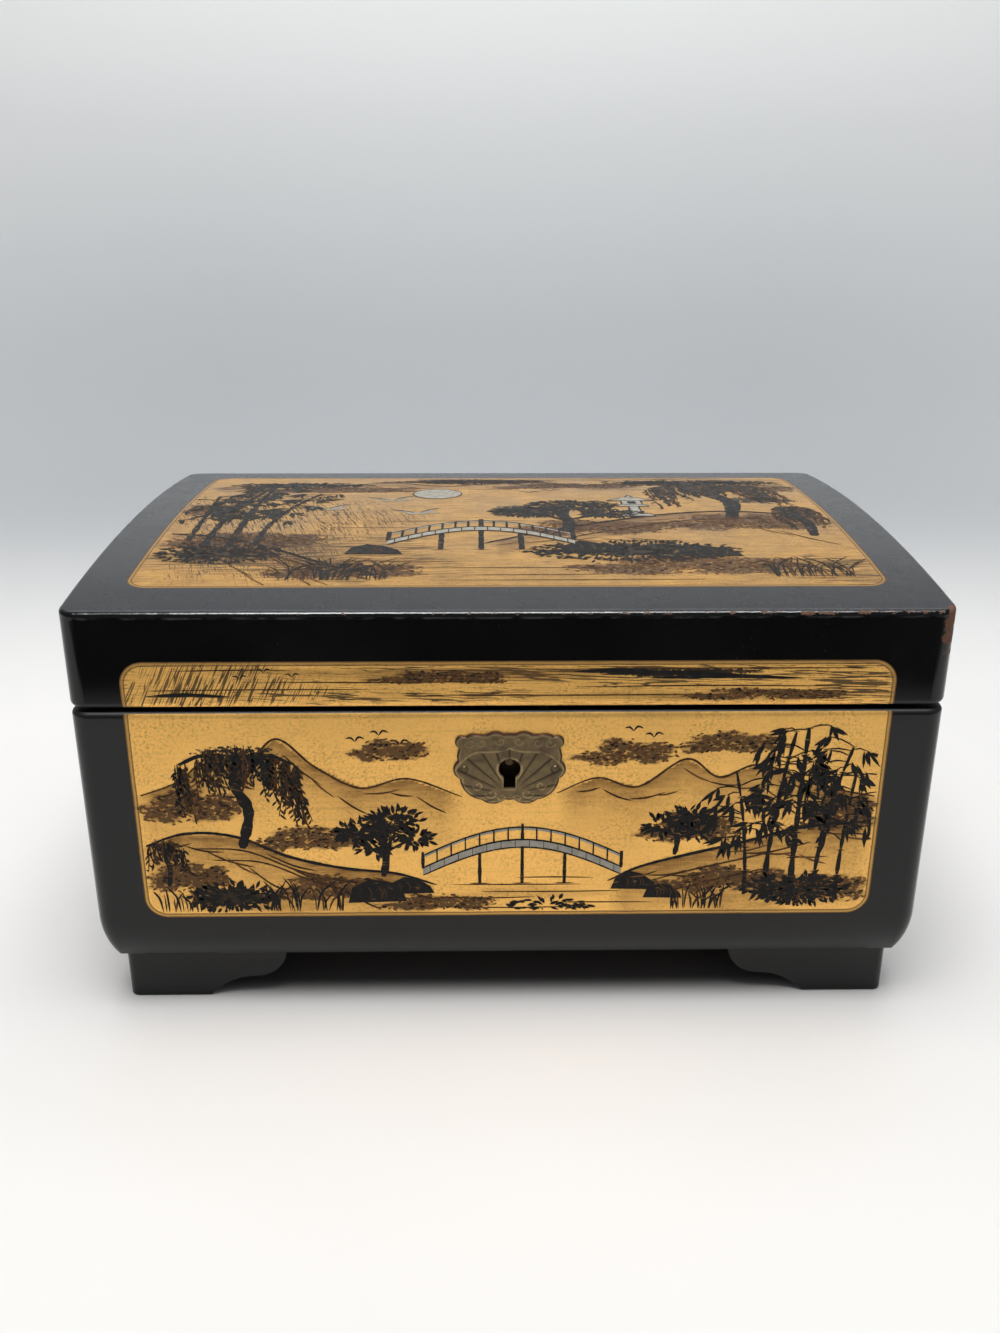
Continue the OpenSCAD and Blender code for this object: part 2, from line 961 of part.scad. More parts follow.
module lid_top() {
    color(lacquer)
        difference() {
            lid_form();
            arch_roll(arch_r - lid_top_t);
            top_recess();
        }
}

// Recess for the top ground; it reaches up past the arched face
module top_recess() {
    difference() {
        translate([0, 0, z_edge - lid_top_t])
            linear_extrude(lid_top_t + 2 * lid_rise)
                rounded_rect(box_w - 2 * gilt_top_side, box_d - 2 * gilt_top_end, gilt_r);
        translate([0, 0, -gilt_t])
            arch_roll(arch_r);
    }
}

module top_ground() {
    intersection() {
        arch_roll(arch_r);
        top_recess();
    }
}

module lid_ground_outline() {
    w = box_w - 2 * gilt_side;
    low = z_lid + seam_r / 3;
    h = gilt_lid_h - seam_r / 3;
    translate([0, low + h / 2]) {
        rounded_rect(w, h, min(gilt_r, h / 2 - eps));
        translate([-w / 2, -h / 2])
            square([w, h / 2]);
    }
}

// Recess for the ground on the lid's front; it reaches out past the face of the rail
module lid_front_recess() {
    difference() {
        translate([0, -box_d / 2 + wall_t / 2, 0])
            rotate([90, 0, 0])
                linear_extrude(wall_t)
                    lid_ground_outline();
        translate([0, gilt_t, z_lid])
            swept_box($kind = "lid");
    }
}

module lid_front_ground() {
    intersection() {
        translate([0, 0, z_lid])
            swept_box($kind = "lid");
        lid_front_recess();
    }
}

module gilt_panel_lid_front() {
    color(gold)
        lid_front_ground();
}

module gilt_panel_lid_top() {
    color(gold)
        top_ground();
}

module lid_front_rail() {
    color(lacquer)
        difference() {
            lid_rail("front");
            lid_front_recess();
            at_strike() {
                translate([-lock_w / 2, -lock_t, -1])
                    cube([lock_w, lock_t + 1, strike_t + 1]);
                strike_screw_places()
                    screw_hole(strike_screw);
            }
        }
}

module lid_back_rail() {
    color(lacquer)
        difference() {
            lid_rail("back");
            hinge_places() {
                leaf_mortise(1);
                leaf_screws(1, fit_gap);
            }
        }
}

module lid_left_rail() {
    color(lacquer)
        lid_rail("left");
}

module lid_right_rail() {
    color(lacquer)
        lid_rail("right");
}

module lid_lining() {
    color(velvet)
        translate([-xi, -yi, z_lining])
            cube([2 * xi, 2 * yi, lid_lining_t]);
}

module lid_mirror() {
    color([0.8, 0.83, 0.85])
        translate([0, 0, z_lining - mirror_t])
            linear_extrude(mirror_t)
                rounded_rect(mirror_w, mirror_d, 4);
}

// Clips hold the mirror's edge from below, two on each long side
module mirror_clips() {
    clip_w = 8;
    lip = 3;
    clip_t = 0.8;
    post = 2;
    side_gap = 0.1;
    color(brass)
        for (sx = [-1, 1], sy = [0, 1])
            mirror([0, sy, 0])
                translate([sx * mirror_w / 4 - clip_w / 2, 0, z_lining - mirror_t - clip_t]) {
                    translate([0, mirror_d / 2 - lip, 0])
                        cube([clip_w, lip + post + side_gap, clip_t]);
                    translate([0, mirror_d / 2 + side_gap, 0])
                        cube([clip_w, post, clip_t + mirror_t]);
                }
}

module at_strike() {
    translate([0, -yi, z_lid])
        children();
}

module strike_screw_places() {
    for (sx = [-1, 1])
        translate([sx * (lock_w / 2 - 5), -lock_t / 2, 0])
            rotate([180, 0, 0])
                children();
}

module strike_plate() {
    link_d = 4.2;
    eye_d = bolt_t + 0.6;
    eye_h = bolt_h + 1;
    eye_top = seam_gap + bolt_top - 0.5;
    color(brass)
        difference() {
            at_strike() {
                translate([-lock_w / 2, -lock_t, 0])
                    cube([lock_w, lock_t, strike_t]);
                difference() {
                    translate([link_x - link_t / 2, -bolt_y - link_d / 2, -seam_gap - link_drop])
                        cube([link_t, link_d, seam_gap + link_drop + eps]);
                    translate([link_x - link_t, -bolt_y - eye_d / 2, -eye_top - eye_h])
                        cube([2 * link_t, eye_d, eye_h]);
                }
            }
            at_strike()
                strike_screw_places()
                    screw_hole(strike_screw);
        }
}

module strike_screws() {
    color(brass)
        at_strike()
            strike_screw_places()
                screw(strike_screw);
}

// Movement: fixed pieces

// Turns a flat shape drawn in (Y, Z) so that it stands at x and grows along +X
module along_x(x, y, z, len) {
    translate([x, y, z])
        rotate([90, 0, 90])
            linear_extrude(len)
                children();
}

module bar_along_x(x0, x1, y, z, r) {
    translate([x0, y, z])
        rotate([0, 90, 0])
            cylinder(r = r, h = x1 - x0);
}

module bed_screw_places() {
    for (p = [[lug_x + 3, my - 19], [mx + 9, my - 19], [mx + 9, my + 20]])
        translate([p[0], p[1], z_under])
            rotate([180, 0, 0])
                children();
}

module bed_screws(grow = 0) {
    bed_screw_places()
        translate([0, 0, bed_screw[1] - bed_screw[0]])
            screw(bed_screw, grow);
}

module movement_screws() {
    color(steel)
        bed_screws();
}

comb_tip_y = my - cylinder_r - pin_h - 0.12;
comb_tooth_len = 15;
comb_land = 4;
comb_root_y = comb_tip_y - comb_tooth_len;
comb_back_y = comb_root_y - comb_land;
comb_plate_t = 1.2;
comb_tooth_t = 0.6;

module comb_screw_places() {
    for (k = [0.2, 0.8])
        translate([cyl_x0 + k * cyl_len, comb_back_y + 2.6, z_cyl + comb_plate_t - comb_tooth_t / 2])
            children();
}

module movement_bedplate() {
    bed_x0 = lug_x - 1;
    bed_x1 = mx + barrel_r;
    bed_y0 = comb_back_y - 1.5;
    bed_y1 = yi - rail_w - 3;
    rest_d = 7;
    cheek_low = z_floor;
    color([0.72, 0.66, 0.5])
        difference() {
            union() {
                translate([bed_x0, bed_y0, z_floor])
                    cube([bed_x1 - bed_x0, bed_y1 - bed_y0, bed_t]);
                along_x(right_cheek_x, my, cheek_low, cheek_t) {
                    translate([-3.5, 0])
                        square([7, z_cyl - cheek_low]);
                    translate([0, z_cyl - cheek_low])
                        circle(3.5);
                }
                along_x(left_cheek_x, my, cheek_low, cheek_t) {
                    translate([-3.5, 0])
                        square([7, z_cyl - cheek_low]);
                    translate([0, z_cyl - cheek_low])
                        circle(3.5);
                    translate([0, 0])
                        square([gov_y - my + 2.2, gov_z - cheek_low]);
                    translate([gov_y - my, gov_z - cheek_low])
                        circle(2.2);
                }
                translate([cyl_x0 - 1, comb_back_y - 0.5, z_floor])
                    cube([cyl_len + 2, rest_d, z_cyl - comb_tooth_t / 2 - z_floor]);
            }
            bar_along_x(lug_x, mx, my, z_cyl, spindle_r + fit_gap);
            bar_along_x(lug_x, cyl_x0, gov_y, gov_z, spindle_r + fit_gap);
            translate([mx, my, z_floor - 1])
                cylinder(r = arbor_r + fit_gap, h = bed_t + 2);
            bed_screws(fit_gap);
            comb_screw_places()
                screw_hole(comb_screw);
        }
}

barrel_wall = 1;

module spring_barrel() {
    tabs = 4;
    color(brass)
        translate([mx, my, z_bed])
            difference() {
                union() {
                    cylinder(r = barrel_r, h = barrel_h - barrel_wall);
                    cylinder(r = barrel_r - 1.4, h = barrel_h);
                    for (k = [0:tabs - 1])
                        rotate([0, 0, 45 + 360 * k / tabs])
                            translate([barrel_r - 2.2, -1.2, barrel_h - barrel_wall - eps])
                                cube([2, 2.4, barrel_wall * 0.6]);
                }
                translate([0, 0, barrel_wall])
                    cylinder(r = barrel_r - barrel_wall, h = barrel_h - 2 * barrel_wall - 0.6);
                translate([0, 0, -1])
                    cylinder(r = arbor_r + fit_gap, h = barrel_h + 2);
            }
}

// Spiral band inside the barrel
module mainspring() {
    turns = 6;
    steps = 24;
    band = 0.4;
    r0 = arbor_r + loose_gap + band;
    r1 = barrel_r - barrel_wall - loose_gap - band;
    n = turns * steps;
    function spiral_r(k) = r0 + (r1 - r0) * k / n;
    outer = [for (k = [0:n]) (spiral_r(k) + band / 2) * [cos(360 * k / steps), sin(360 * k / steps)]];
    inner = [for (k = [0:n]) (spiral_r(n - k) - band / 2)
        * [cos(360 * (n - k) / steps), sin(360 * (n - k) / steps)]];
    color(steel)
        translate([mx, my, z_bed + barrel_wall + loose_gap])
            linear_extrude(barrel_h - 2 * barrel_wall - 0.6 - 2 * loose_gap)
                polygon(concat(outer, inner));
}

// Comb: teeth cut by slots that run deeper towards the bass end
module comb() {
    slot_w = note_pitch * 0.24;
    margin = 1;
    graded = 5;
    low = z_cyl - comb_tooth_t / 2;
    color(steel)
        difference() {
            union() {
                translate([cyl_x0 - margin, comb_back_y, low])
                    cube([cyl_len + 2 * margin, comb_root_y - comb_back_y + 2, comb_plate_t]);
                translate([cyl_x0, comb_back_y, low])
                    cube([cyl_len, comb_tip_y - comb_back_y, comb_tooth_t]);
            }
            for (k = [0:note_count])
                translate([cyl_x0 + k * note_pitch - slot_w / 2,
                        comb_root_y + 2.2 + graded * k / note_count, low - 1])
                    cube([slot_w, comb_tip_y - comb_root_y, comb_plate_t + 2]);
            comb_screw_places()
                screw_hole(comb_screw);
        }
}

module comb_screws() {
    color(steel)
        comb_screw_places()
            screw(comb_screw);
}

// Bracket with the fly's two bearings and the outer bearing of the governor's arbor
module governor_bracket() {
    wing_gap = 0.8;
    post_y = fly_y + fly_wing_r + wing_gap;
    post_d = 2.4;
    arm_t = 2;
    arm_w = 5;
    lug_w = 4.4;
    base_t = 1;
    color(brass)
        difference() {
            union() {
                translate([fly_x - arm_w / 2, post_y, z_bed])
                    cube([arm_w, post_d, z_fly_top - z_bed]);
                for (z = [z_fly_low - arm_t, z_fly_top - arm_t])
                    translate([0, 0, z])
                        linear_extrude(arm_t) {
                            translate([fly_x - arm_w / 2, fly_y])
                                square([arm_w, post_y - fly_y + post_d]);
                            translate([fly_x, fly_y])
                                circle(arm_w / 2);
                        }
                along_x(lug_x, gov_y, gov_z, cheek_t) {
                    circle(lug_w / 2);
                    translate([-lug_w / 2, z_bed - gov_z])
                        square([lug_w, gov_z - z_bed]);
                }
                translate([lug_x, gov_y - lug_w / 2, z_bed])
                    cube([left_cheek_x - loose_gap - lug_x, post_y + post_d - gov_y + lug_w / 2, base_t]);
            }
            translate([fly_x, fly_y, z_bed - 1])
                cylinder(r = fly_shaft_r + fit_gap, h = z_fly_top);
            bar_along_x(lug_x - 1, wheel_x, gov_y, gov_z, spindle_r + fit_gap);
        }
}

// Movement: turning pieces

// Outline of a toothed wheel with tooth 0 on the first axis
function wheel_points(n, tip_r, root_r, tip_w, root_w) = [
    for (k = [0:n - 1], p = tooth_points(tip_r, root_r, tip_w, root_w))
        let (a = 360 * k / n)
            [p[0] * cos(a) - p[1] * sin(a), p[0] * sin(a) + p[1] * cos(a)]];
function tooth_points(tip_r, root_r, tip_w, root_w) = [
    [root_r, -root_w / 2], [tip_r, -tip_w / 2], [tip_r, tip_w / 2], [root_r, root_w / 2]];

module winding_key() {
    hub_r = 3.6;
    wing_t = 2.4;
    z_low = 3;
    lobe_r = key_h / 2;
    hub_gap = 0.8;
    hub_top = z_under - hub_gap;
    color(brass)
        translate([mx, my, 0])
            difference() {
                union() {
                    translate([0, 0, z_low + 2])
                        cylinder(r = hub_r, h = hub_top - z_low - 2);
                    translate([0, wing_t / 2, z_low + lobe_r])
                        rotate([90, 0, 0])
                            linear_extrude(wing_t)
                                difference() {
                                    union() {
                                        for (sx = [-1, 1])
                                            translate([sx * (key_w / 2 - lobe_r), 0])
                                                circle(lobe_r);
                                        square([key_w - 2 * lobe_r, key_h * 0.7], center = true);
                                    }
                                    for (sx = [-1, 1])
                                        translate([sx * (key_w / 2 - lobe_r), 0])
                                            circle(lobe_r * 0.45);
                                }
                }
                translate([0, 0, z_low + key_h + 0.5])
                    cylinder(r = arbor_r + fit_gap, h = hub_top);
            }
}

module winding_arbor() {
    z_low = 3 + key_h + 0.6;
    color(steel)
        translate([mx, my, z_low])
            cylinder(r = arbor_r, h = z_crown + crown_t + 1.5 - z_low);
}

module crown_wheel() {
    face = 2;
    rim_r = crown_mean_r + face / 2;
    color(brass)
        translate([mx, my, z_crown])
            difference() {
                union() {
                    cylinder(r = rim_r, h = crown_t);
                    for (k = [0:crown_teeth - 1])
                        rotate([0, 0, 360 * (k + 0.5) / crown_teeth])
                            translate([crown_mean_r - face / 2, 0, crown_t - eps])
                                rotate([90, 0, 90])
                                    linear_extrude(face * 0.98)
                                        rotate(90)
                                            polygon(tooth_points(crown_tooth_h, 0, 0.4, 0.84));
                }
                translate([0, 0, -1])
                    cylinder(r = arbor_r + 0.02, h = crown_t + 2);
                for (k = [0:2])
                    rotate([0, 0, 30 + 120 * k])
                        translate([crown_mean_r * 0.56, 0, -1])
                            cylinder(r = 2.2, h = crown_t + 2);
            }
}

// Pins follow a fixed scatter: each note's pins lie a quarter turn apart, shifted from note to note
module pinned_cylinder() {
    pin_wire_r = 0.24;
    color(brass)
        difference() {
            union() {
                bar_along_x(cyl_x0, cyl_x1, my, z_cyl, cylinder_r);
                for (i = [0:note_count - 1], j = [0:pins_per_note - 1])
                    translate([cyl_x0 + (i + 0.5) * note_pitch, my, z_cyl])
                        rotate([137.5 * i + 360 * j / pins_per_note + 23 * j, 0, 0])
                            cylinder(r = pin_wire_r, h = cylinder_r + pin_h, $fn = 16);
            }
            bar_along_x(cyl_x0 - 1, cyl_x1 + 1, my, z_cyl, spindle_r + 0.02);
        }
}

module cylinder_gear() {
    color(brass)
        difference() {
            union() {
                along_x(gear_x, my, z_cyl, gear_t)
                    rotate(mesh_angle)
                        polygon(wheel_points(drive_teeth, drive_r + 0.28, drive_r - 0.4, 0.25, 0.55));
                bar_along_x(gear_x + gear_t - eps, cyl_x0, my, z_cyl, 2.4);
            }
            bar_along_x(gear_x - 1, cyl_x0 + 1, my, z_cyl, spindle_r + 0.02);
        }
}

module cylinder_arbor() {
    color(steel) {
        bar_along_x(left_cheek_x - 0.4, pinion_x + pinion_len / 2, my, z_cyl, spindle_r);
        along_x(pinion_x - pinion_len / 2, my, z_cyl, pinion_len)
            rotate(-90)
                polygon(wheel_points(pinion_teeth, pinion_r + 0.48, pinion_r - 0.75, 0.34, 0.86));
    }
}

module governor_wheel() {
    color(brass) {
        bar_along_x(lug_x, gear_x + gear_t, gov_y, gov_z, spindle_r);
        along_x(gear_x, gov_y, gov_z, gear_t)
            rotate(mesh_angle + 180 + 180 / pinion_teeth)
                polygon(wheel_points(pinion_teeth, governor_r + 0.28, governor_r - 0.42, 0.25, 0.52));
        along_x(wheel_x, gov_y, gov_z, wheel_t)
            polygon(wheel_points(worm_teeth, worm_wheel_r + 0.3, worm_wheel_r - 0.75, 0.24, 0.7));
    }
}

module governor_fly() {
    worm_h = 3 * worm_lead;
    wing_t = 0.4;
    z_worm = gov_z - worm_h / 2;
    start = 90 - 360 * (gov_z - z_worm) / worm_lead;
    color(steel)
        translate([fly_x, fly_y, 0]) {
            translate([0, 0, z_fly_low - 1.5])
                cylinder(r = fly_shaft_r, h = z_fly_top - z_fly_low + 1);
            translate([0, 0, z_worm])
                rotate([0, 0, start])
                    linear_extrude(worm_h, twist = -360 * worm_h / worm_lead, slices = 42, $fn = 14)
                        translate([worm_off, 0])
                            circle(worm_r, $fn = 14);
            translate([-fly_wing_r, -wing_t / 2, z_wing0])
                cube([2 * fly_wing_r, wing_t, wing_h]);
        }
}

module stop_rod() {
    arm_r = 0.8;
    arm_end = fly_x - fly_wing_r - 0.4;
    top_gap = 0.2;
    color(steel) {
        translate([rod_x, fly_y, z_rod_arm - arm_r])
            cylinder(r = rod_r, h = z_lid - top_gap - z_rod_arm + arm_r);
        bar_along_x(rod_x, arm_end, fly_y, z_rod_arm, arm_r);
    }
}

front_board();
back_board();
left_board();
right_board();
bottom_board();
bracket_foot(-1, -1);  // foot_front_left
bracket_foot(1, -1);  // foot_front_right
bracket_foot(-1, 1);  // foot_back_left
bracket_foot(1, 1);  // foot_back_right
gilt_panel_front();
escutcheon();
escutcheon_nails();
lock_case();
lock_screws();
lining_floor();
lining_walls();
music_partition();
movement_divider();
movement_cover();
support_rails();
at_hinge(-1) hinge_leaf(-1);  // hinge_left_body_leaf
at_hinge(1) hinge_leaf(-1);  // hinge_right_body_leaf
at_hinge(-1) hinge_pin();  // hinge_left_pin
at_hinge(1) hinge_pin();  // hinge_right_pin
hinge_body_screws();
movement_bedplate();
spring_barrel();
mainspring();
comb();
comb_screws();
governor_bracket();
movement_screws();
lid_top();
lid_front_rail();
lid_back_rail();
lid_left_rail();
lid_right_rail();
gilt_panel_lid_front();
gilt_panel_lid_top();
lid_lining();
lid_mirror();
mirror_clips();
strike_plate();
strike_screws();
at_hinge(-1) hinge_leaf(1);  // hinge_left_lid_leaf
at_hinge(1) hinge_leaf(1);  // hinge_right_lid_leaf
hinge_lid_screws();
lock_bolt();
tray_frame();
ring_rolls();
winding_key();
winding_arbor();
crown_wheel();
pinned_cylinder();
cylinder_gear();
cylinder_arbor();
governor_wheel();
governor_fly();
stop_rod();
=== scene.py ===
"""Looks of a lacquered musical jewelry box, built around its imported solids."""

import json
import math
import random

import bpy
import numpy as np
from mathutils import Matrix, Vector
from mathutils.geometry import tessellate_polygon


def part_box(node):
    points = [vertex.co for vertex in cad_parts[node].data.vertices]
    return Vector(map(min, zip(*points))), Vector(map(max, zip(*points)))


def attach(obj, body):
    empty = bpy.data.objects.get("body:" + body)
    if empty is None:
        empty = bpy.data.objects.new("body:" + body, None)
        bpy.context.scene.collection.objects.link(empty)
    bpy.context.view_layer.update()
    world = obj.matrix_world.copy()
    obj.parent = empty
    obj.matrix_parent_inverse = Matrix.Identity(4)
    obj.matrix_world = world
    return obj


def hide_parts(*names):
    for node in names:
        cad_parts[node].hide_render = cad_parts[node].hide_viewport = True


bl_info = {
    "name": "Musical Jewelry Box",
    "version": (1, 0, 0),
    "blender": (4, 5, 0),
    "location": "View3D > Sidebar > Jewelry Box",
    "description": "Lacquer, gilt grounds with a painted river scene, velvet, brass and the music movement",
    "category": "Object",
}

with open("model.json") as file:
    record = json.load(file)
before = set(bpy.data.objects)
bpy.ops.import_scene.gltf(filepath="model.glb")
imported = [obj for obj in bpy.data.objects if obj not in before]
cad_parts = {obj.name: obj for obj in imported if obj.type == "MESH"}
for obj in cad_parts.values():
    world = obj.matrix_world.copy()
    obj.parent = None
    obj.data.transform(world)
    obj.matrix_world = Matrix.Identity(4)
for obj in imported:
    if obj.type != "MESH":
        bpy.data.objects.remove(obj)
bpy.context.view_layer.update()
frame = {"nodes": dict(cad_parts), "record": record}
NODES = frame["nodes"]
BODY_OF = {n: b for b, members in frame["record"]["behaviour"]["bodies"].items() for n in members}
MM = 0.001


def level(node, end, axis):
    """Lowest (0) or highest (1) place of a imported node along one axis, in millimetres."""
    return round(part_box(node)[end][axis] / MM, 3)


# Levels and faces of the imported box, in millimetres
FRONT_Y = level("front_board", 0, 1)
SEAM_Z = level("front_board", 1, 2)
LID_Z = level("lid_front_rail", 0, 2)
CREST_Z = level("lid_top", 1, 2)
RISE = 5.0
LID_EDGE_Z = CREST_Z - RISE
ARCH_R = (FRONT_Y ** 2 + RISE ** 2) / (2 * RISE)
SEAM_R = 1.8
KEY_Z = 83.5

# Worn places of the lacquer, in millimetres
WORN_CORNER_X = 126.5
WORN_LOW = (123.2, -84.2, 24.3)

# Small tints that the colour settings leave out
DUST = (0.16, 0.15, 0.14)
# Bluish grey of the lid top: partly a film worn by rubbing, partly a painted sheen of the backdrop it
# reflects
HAZE_AND_SHEEN = (0.02, 0.0225, 0.027)
DARK_RIM = (0.045, 0.018, 0.012)
TARNISH = (0.06, 0.04, 0.03)
RED_TARNISH = (0.085, 0.04, 0.028)
SILVERING = (0.86, 0.89, 0.89)
FOXING = (0.2, 0.17, 0.14)
CLEAR = (0.96, 0.98, 0.97)
SCUFFED = (0.8, 0.83, 0.82)

# Edges sharper than this are rounded and stay sharp in the shading
SHARP = math.radians(40)


def mm(*values):
    """A point given in millimetres, in metres."""
    return Vector([v * MM for v in values])


def start():
    """Object mode with nothing selected."""
    if bpy.context.object and bpy.context.object.mode != "OBJECT":
        bpy.ops.object.mode_set(mode="OBJECT")
    bpy.ops.object.select_all(action="DESELECT")


def pick(piece):
    """Makes one object the only selected one and the active one."""
    start()
    piece.select_set(True)
    bpy.context.view_layer.objects.active = piece
    return piece


def edit(piece, mode="VERT"):
    """Edit mode on one object with everything selected."""
    pick(piece)
    bpy.ops.object.mode_set(mode="EDIT")
    bpy.ops.mesh.select_mode(type=mode)
    bpy.ops.mesh.select_all(action="SELECT")


def choose(piece, kind, test):
    """Edit mode on one object with only the faces or edges selected that pass a test."""
    edit(piece, kind)
    bpy.ops.mesh.select_all(action="DESELECT")
    bpy.ops.object.mode_set(mode="OBJECT")
    for part in piece.data.polygons if kind == "FACE" else piece.data.edges:
        part.select = test(part)
    bpy.ops.object.mode_set(mode="EDIT")


def coat(material, *nodes):
    """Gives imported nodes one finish."""
    for node in nodes:
        NODES[node].data.materials.clear()
        NODES[node].data.materials.append(material)


def coat_slots(finishes):
    """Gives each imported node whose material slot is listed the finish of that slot."""
    for node, piece in NODES.items():
        slot = piece.data.materials[0].name.split(".")[0] if piece.data.materials else None
        if slot in finishes:
            coat(finishes[slot](), node)


def dress(piece, materials, body, slot, *stands_for):
    """Gives a finished piece its finishes and its body, and hides the nodes it stands for; the slot it is
    handed is not used.
    """
    piece.data.materials.clear()
    for material in materials:
        piece.data.materials.append(material)
    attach(piece, body)
    if stands_for:
        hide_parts(*stands_for)
    return piece


def mesh_piece(name, points, faces):
    """A new object from points in metres and faces."""
    data = bpy.data.meshes.new(name)
    data.from_pydata([tuple(p) for p in points], [], faces)
    data.update()
    piece = bpy.data.objects.new(name, data)
    bpy.context.scene.collection.objects.link(piece)
    return piece


def float_attribute(piece, name, values):
    """Stores one number for each point of a piece."""
    layer = piece.data.attributes.new(name, "FLOAT", "POINT")
    layer.data.foreach_set("value", np.asarray(values, np.float32))


class Finish:
    """A node material with short calls for the nodes that these finishes share."""

    def __init__(self, name):
        self.material = bpy.data.materials.new(name)
        self.material.use_nodes = True
        self.tree = self.material.node_tree
        self.shader = self.tree.nodes["Principled BSDF"]
        self.place = self.tree.nodes.new("ShaderNodeTexCoord").outputs["Object"]

    def join(self, socket, value):
        """Links a socket to an output, or sets its constant."""
        if isinstance(value, bpy.types.NodeSocket):
            self.tree.links.new(value, socket)
        else:
            socket.default_value = value

    def set(self, **values):
        """Sets the shader's own sockets; an underscore stands for a space."""
        for name, value in values.items():
            self.join(self.shader.inputs[name.replace("_", " ")], value)

    def node(self, kind, out, sockets, **settings):
        """One output of a new node, with its settings made before its sockets are filled."""
        made = self.tree.nodes.new(kind)
        for key, value in settings.items():
            setattr(made, key, value)
        for key, value in sockets.items():
            self.join(made.inputs[key], value)
        return made.outputs[out]

    def stretched(self, scale, turn=(0, 0, 0)):
        """Object coordinates with a scale for each axis, after a turn."""
        sockets = {"Vector": self.place, "Scale": [1 / c for c in scale], "Rotation": turn}
        return self.node("ShaderNodeMapping", "Vector", sockets, vector_type="TEXTURE")

    def noise(self, scale, detail=3.0, rough=0.5, vector=None, distortion=0.0):
        sockets = {"Vector": vector or self.place, "Scale": scale, "Detail": detail}
        sockets.update({"Roughness": rough, "Distortion": distortion})
        return self.node("ShaderNodeTexNoise", "Fac", sockets)

    def waves(self, scale, distortion, detail, vector):
        sockets = {"Vector": vector, "Scale": scale, "Distortion": distortion, "Detail": detail}
        return self.node("ShaderNodeTexWave", "Fac", sockets)

    def attribute(self, name):
        return self.node("ShaderNodeAttribute", "Fac", {}, attribute_name=name)

    def ramp(self, value, low, high, out_low=0.0, out_high=1.0):
        """A soft step from one value to another."""
        sockets = {"Value": value, "From Min": low, "From Max": high, "To Min": out_low, "To Max": out_high}
        return self.node("ShaderNodeMapRange", "Result", sockets, interpolation_type="SMOOTHSTEP")

    def calc(self, kind, a, b=0.0):
        return self.node("ShaderNodeMath", "Value", {0: a, 1: b}, operation=kind)

    def plus(self, a, b):
        return self.calc("ADD", a, b)

    def less(self, a, b):
        return self.calc("SUBTRACT", a, b)

    def times(self, a, b):
        return self.calc("MULTIPLY", a, b)

    def most(self, a, b):
        return self.calc("MAXIMUM", a, b)

    def unsigned(self, a):
        return self.calc("ABSOLUTE", a)

    def mix(self, share, a, b):
        """Between two colours; three plain numbers stand for an opaque one."""
        a, b = ((*c, 1.0) if isinstance(c, tuple) else c for c in (a, b))
        return self.node("ShaderNodeMix", "Result", {"Factor": share, "A": a, "B": b}, data_type="RGBA")

    def far_from(self, mask, point):
        """Distance from a line or a point: mask holds a 0 for the axis that doesn't count."""
        seen = self.node("ShaderNodeVectorMath", "Vector", {0: self.place, 1: mask}, operation="MULTIPLY")
        return self.node("ShaderNodeVectorMath", "Value", {0: seen, 1: point}, operation="DISTANCE")

    def axis(self, name):
        return self.node("ShaderNodeSeparateXYZ", name, {"Vector": self.place})

    def fine_lines(self, amount, scale, turn):
        """Thin broken lines along the long way of a stretched noise, more where the amount is higher."""
        away = self.unsigned(self.less(self.noise(1, 2, 0.6, self.stretched(scale, turn)), 0.5))
        return self.ramp(self.less(self.times(amount, 0.08), away), 0.0, 0.02, 0, 0.88)

    def bump(self, height, strength, distance):
        """Bump from a height, its distance in millimetres."""
        sockets = {"Height": height, "Strength": strength, "Distance": distance * MM}
        self.set(Normal=self.node("ShaderNodeBump", "Normal", sockets))


FINISHES = {}


def finish(make):
    """Makes a finish once and hands out the same material afterwards."""

    def once():
        if make.__name__ not in FINISHES:
            FINISHES[make.__name__] = make().material
        return FINISHES[make.__name__]

    return once


def colour(name):
    """A colour of the scene's colour settings, as three numbers."""
    return tuple(getattr(bpy.context.scene.jewel_colours, name))


def darker(shade, share):
    """A colour multiplied by a share; a share over 1 makes it lighter."""
    return tuple(c * share for c in shade)


def worn_places(f, grain, edge):
    """Where the lacquer is gone: along the lid's front edge, at its right corner and low on the right."""
    right_more = f.ramp(f.axis("X"), -0.08, 0.12, 0.8, 1.04)
    along_edge = f.ramp(f.times(f.times(edge, grain), right_more), 0.53, 0.58)
    corner = f.ramp(f.far_from((1, 1, 0), mm(WORN_CORNER_X, FRONT_Y, 0)), 1.2 * MM, 7.2 * MM, 1, 0)
    corner = f.times(corner, f.ramp(f.axis("Z"), 0.104, 0.128))
    at_corner = f.ramp(f.plus(f.times(corner, 0.55), grain), 0.83, 0.9)
    at_corner = f.times(at_corner, f.ramp(corner, 0.02, 0.2))
    low = f.ramp(f.far_from((1, 1, 1), mm(*WORN_LOW)), 0.8 * MM, 4.2 * MM, 1, 0)
    return f.most(f.most(along_edge, at_corner), f.ramp(f.times(low, grain), 0.4, 0.46))


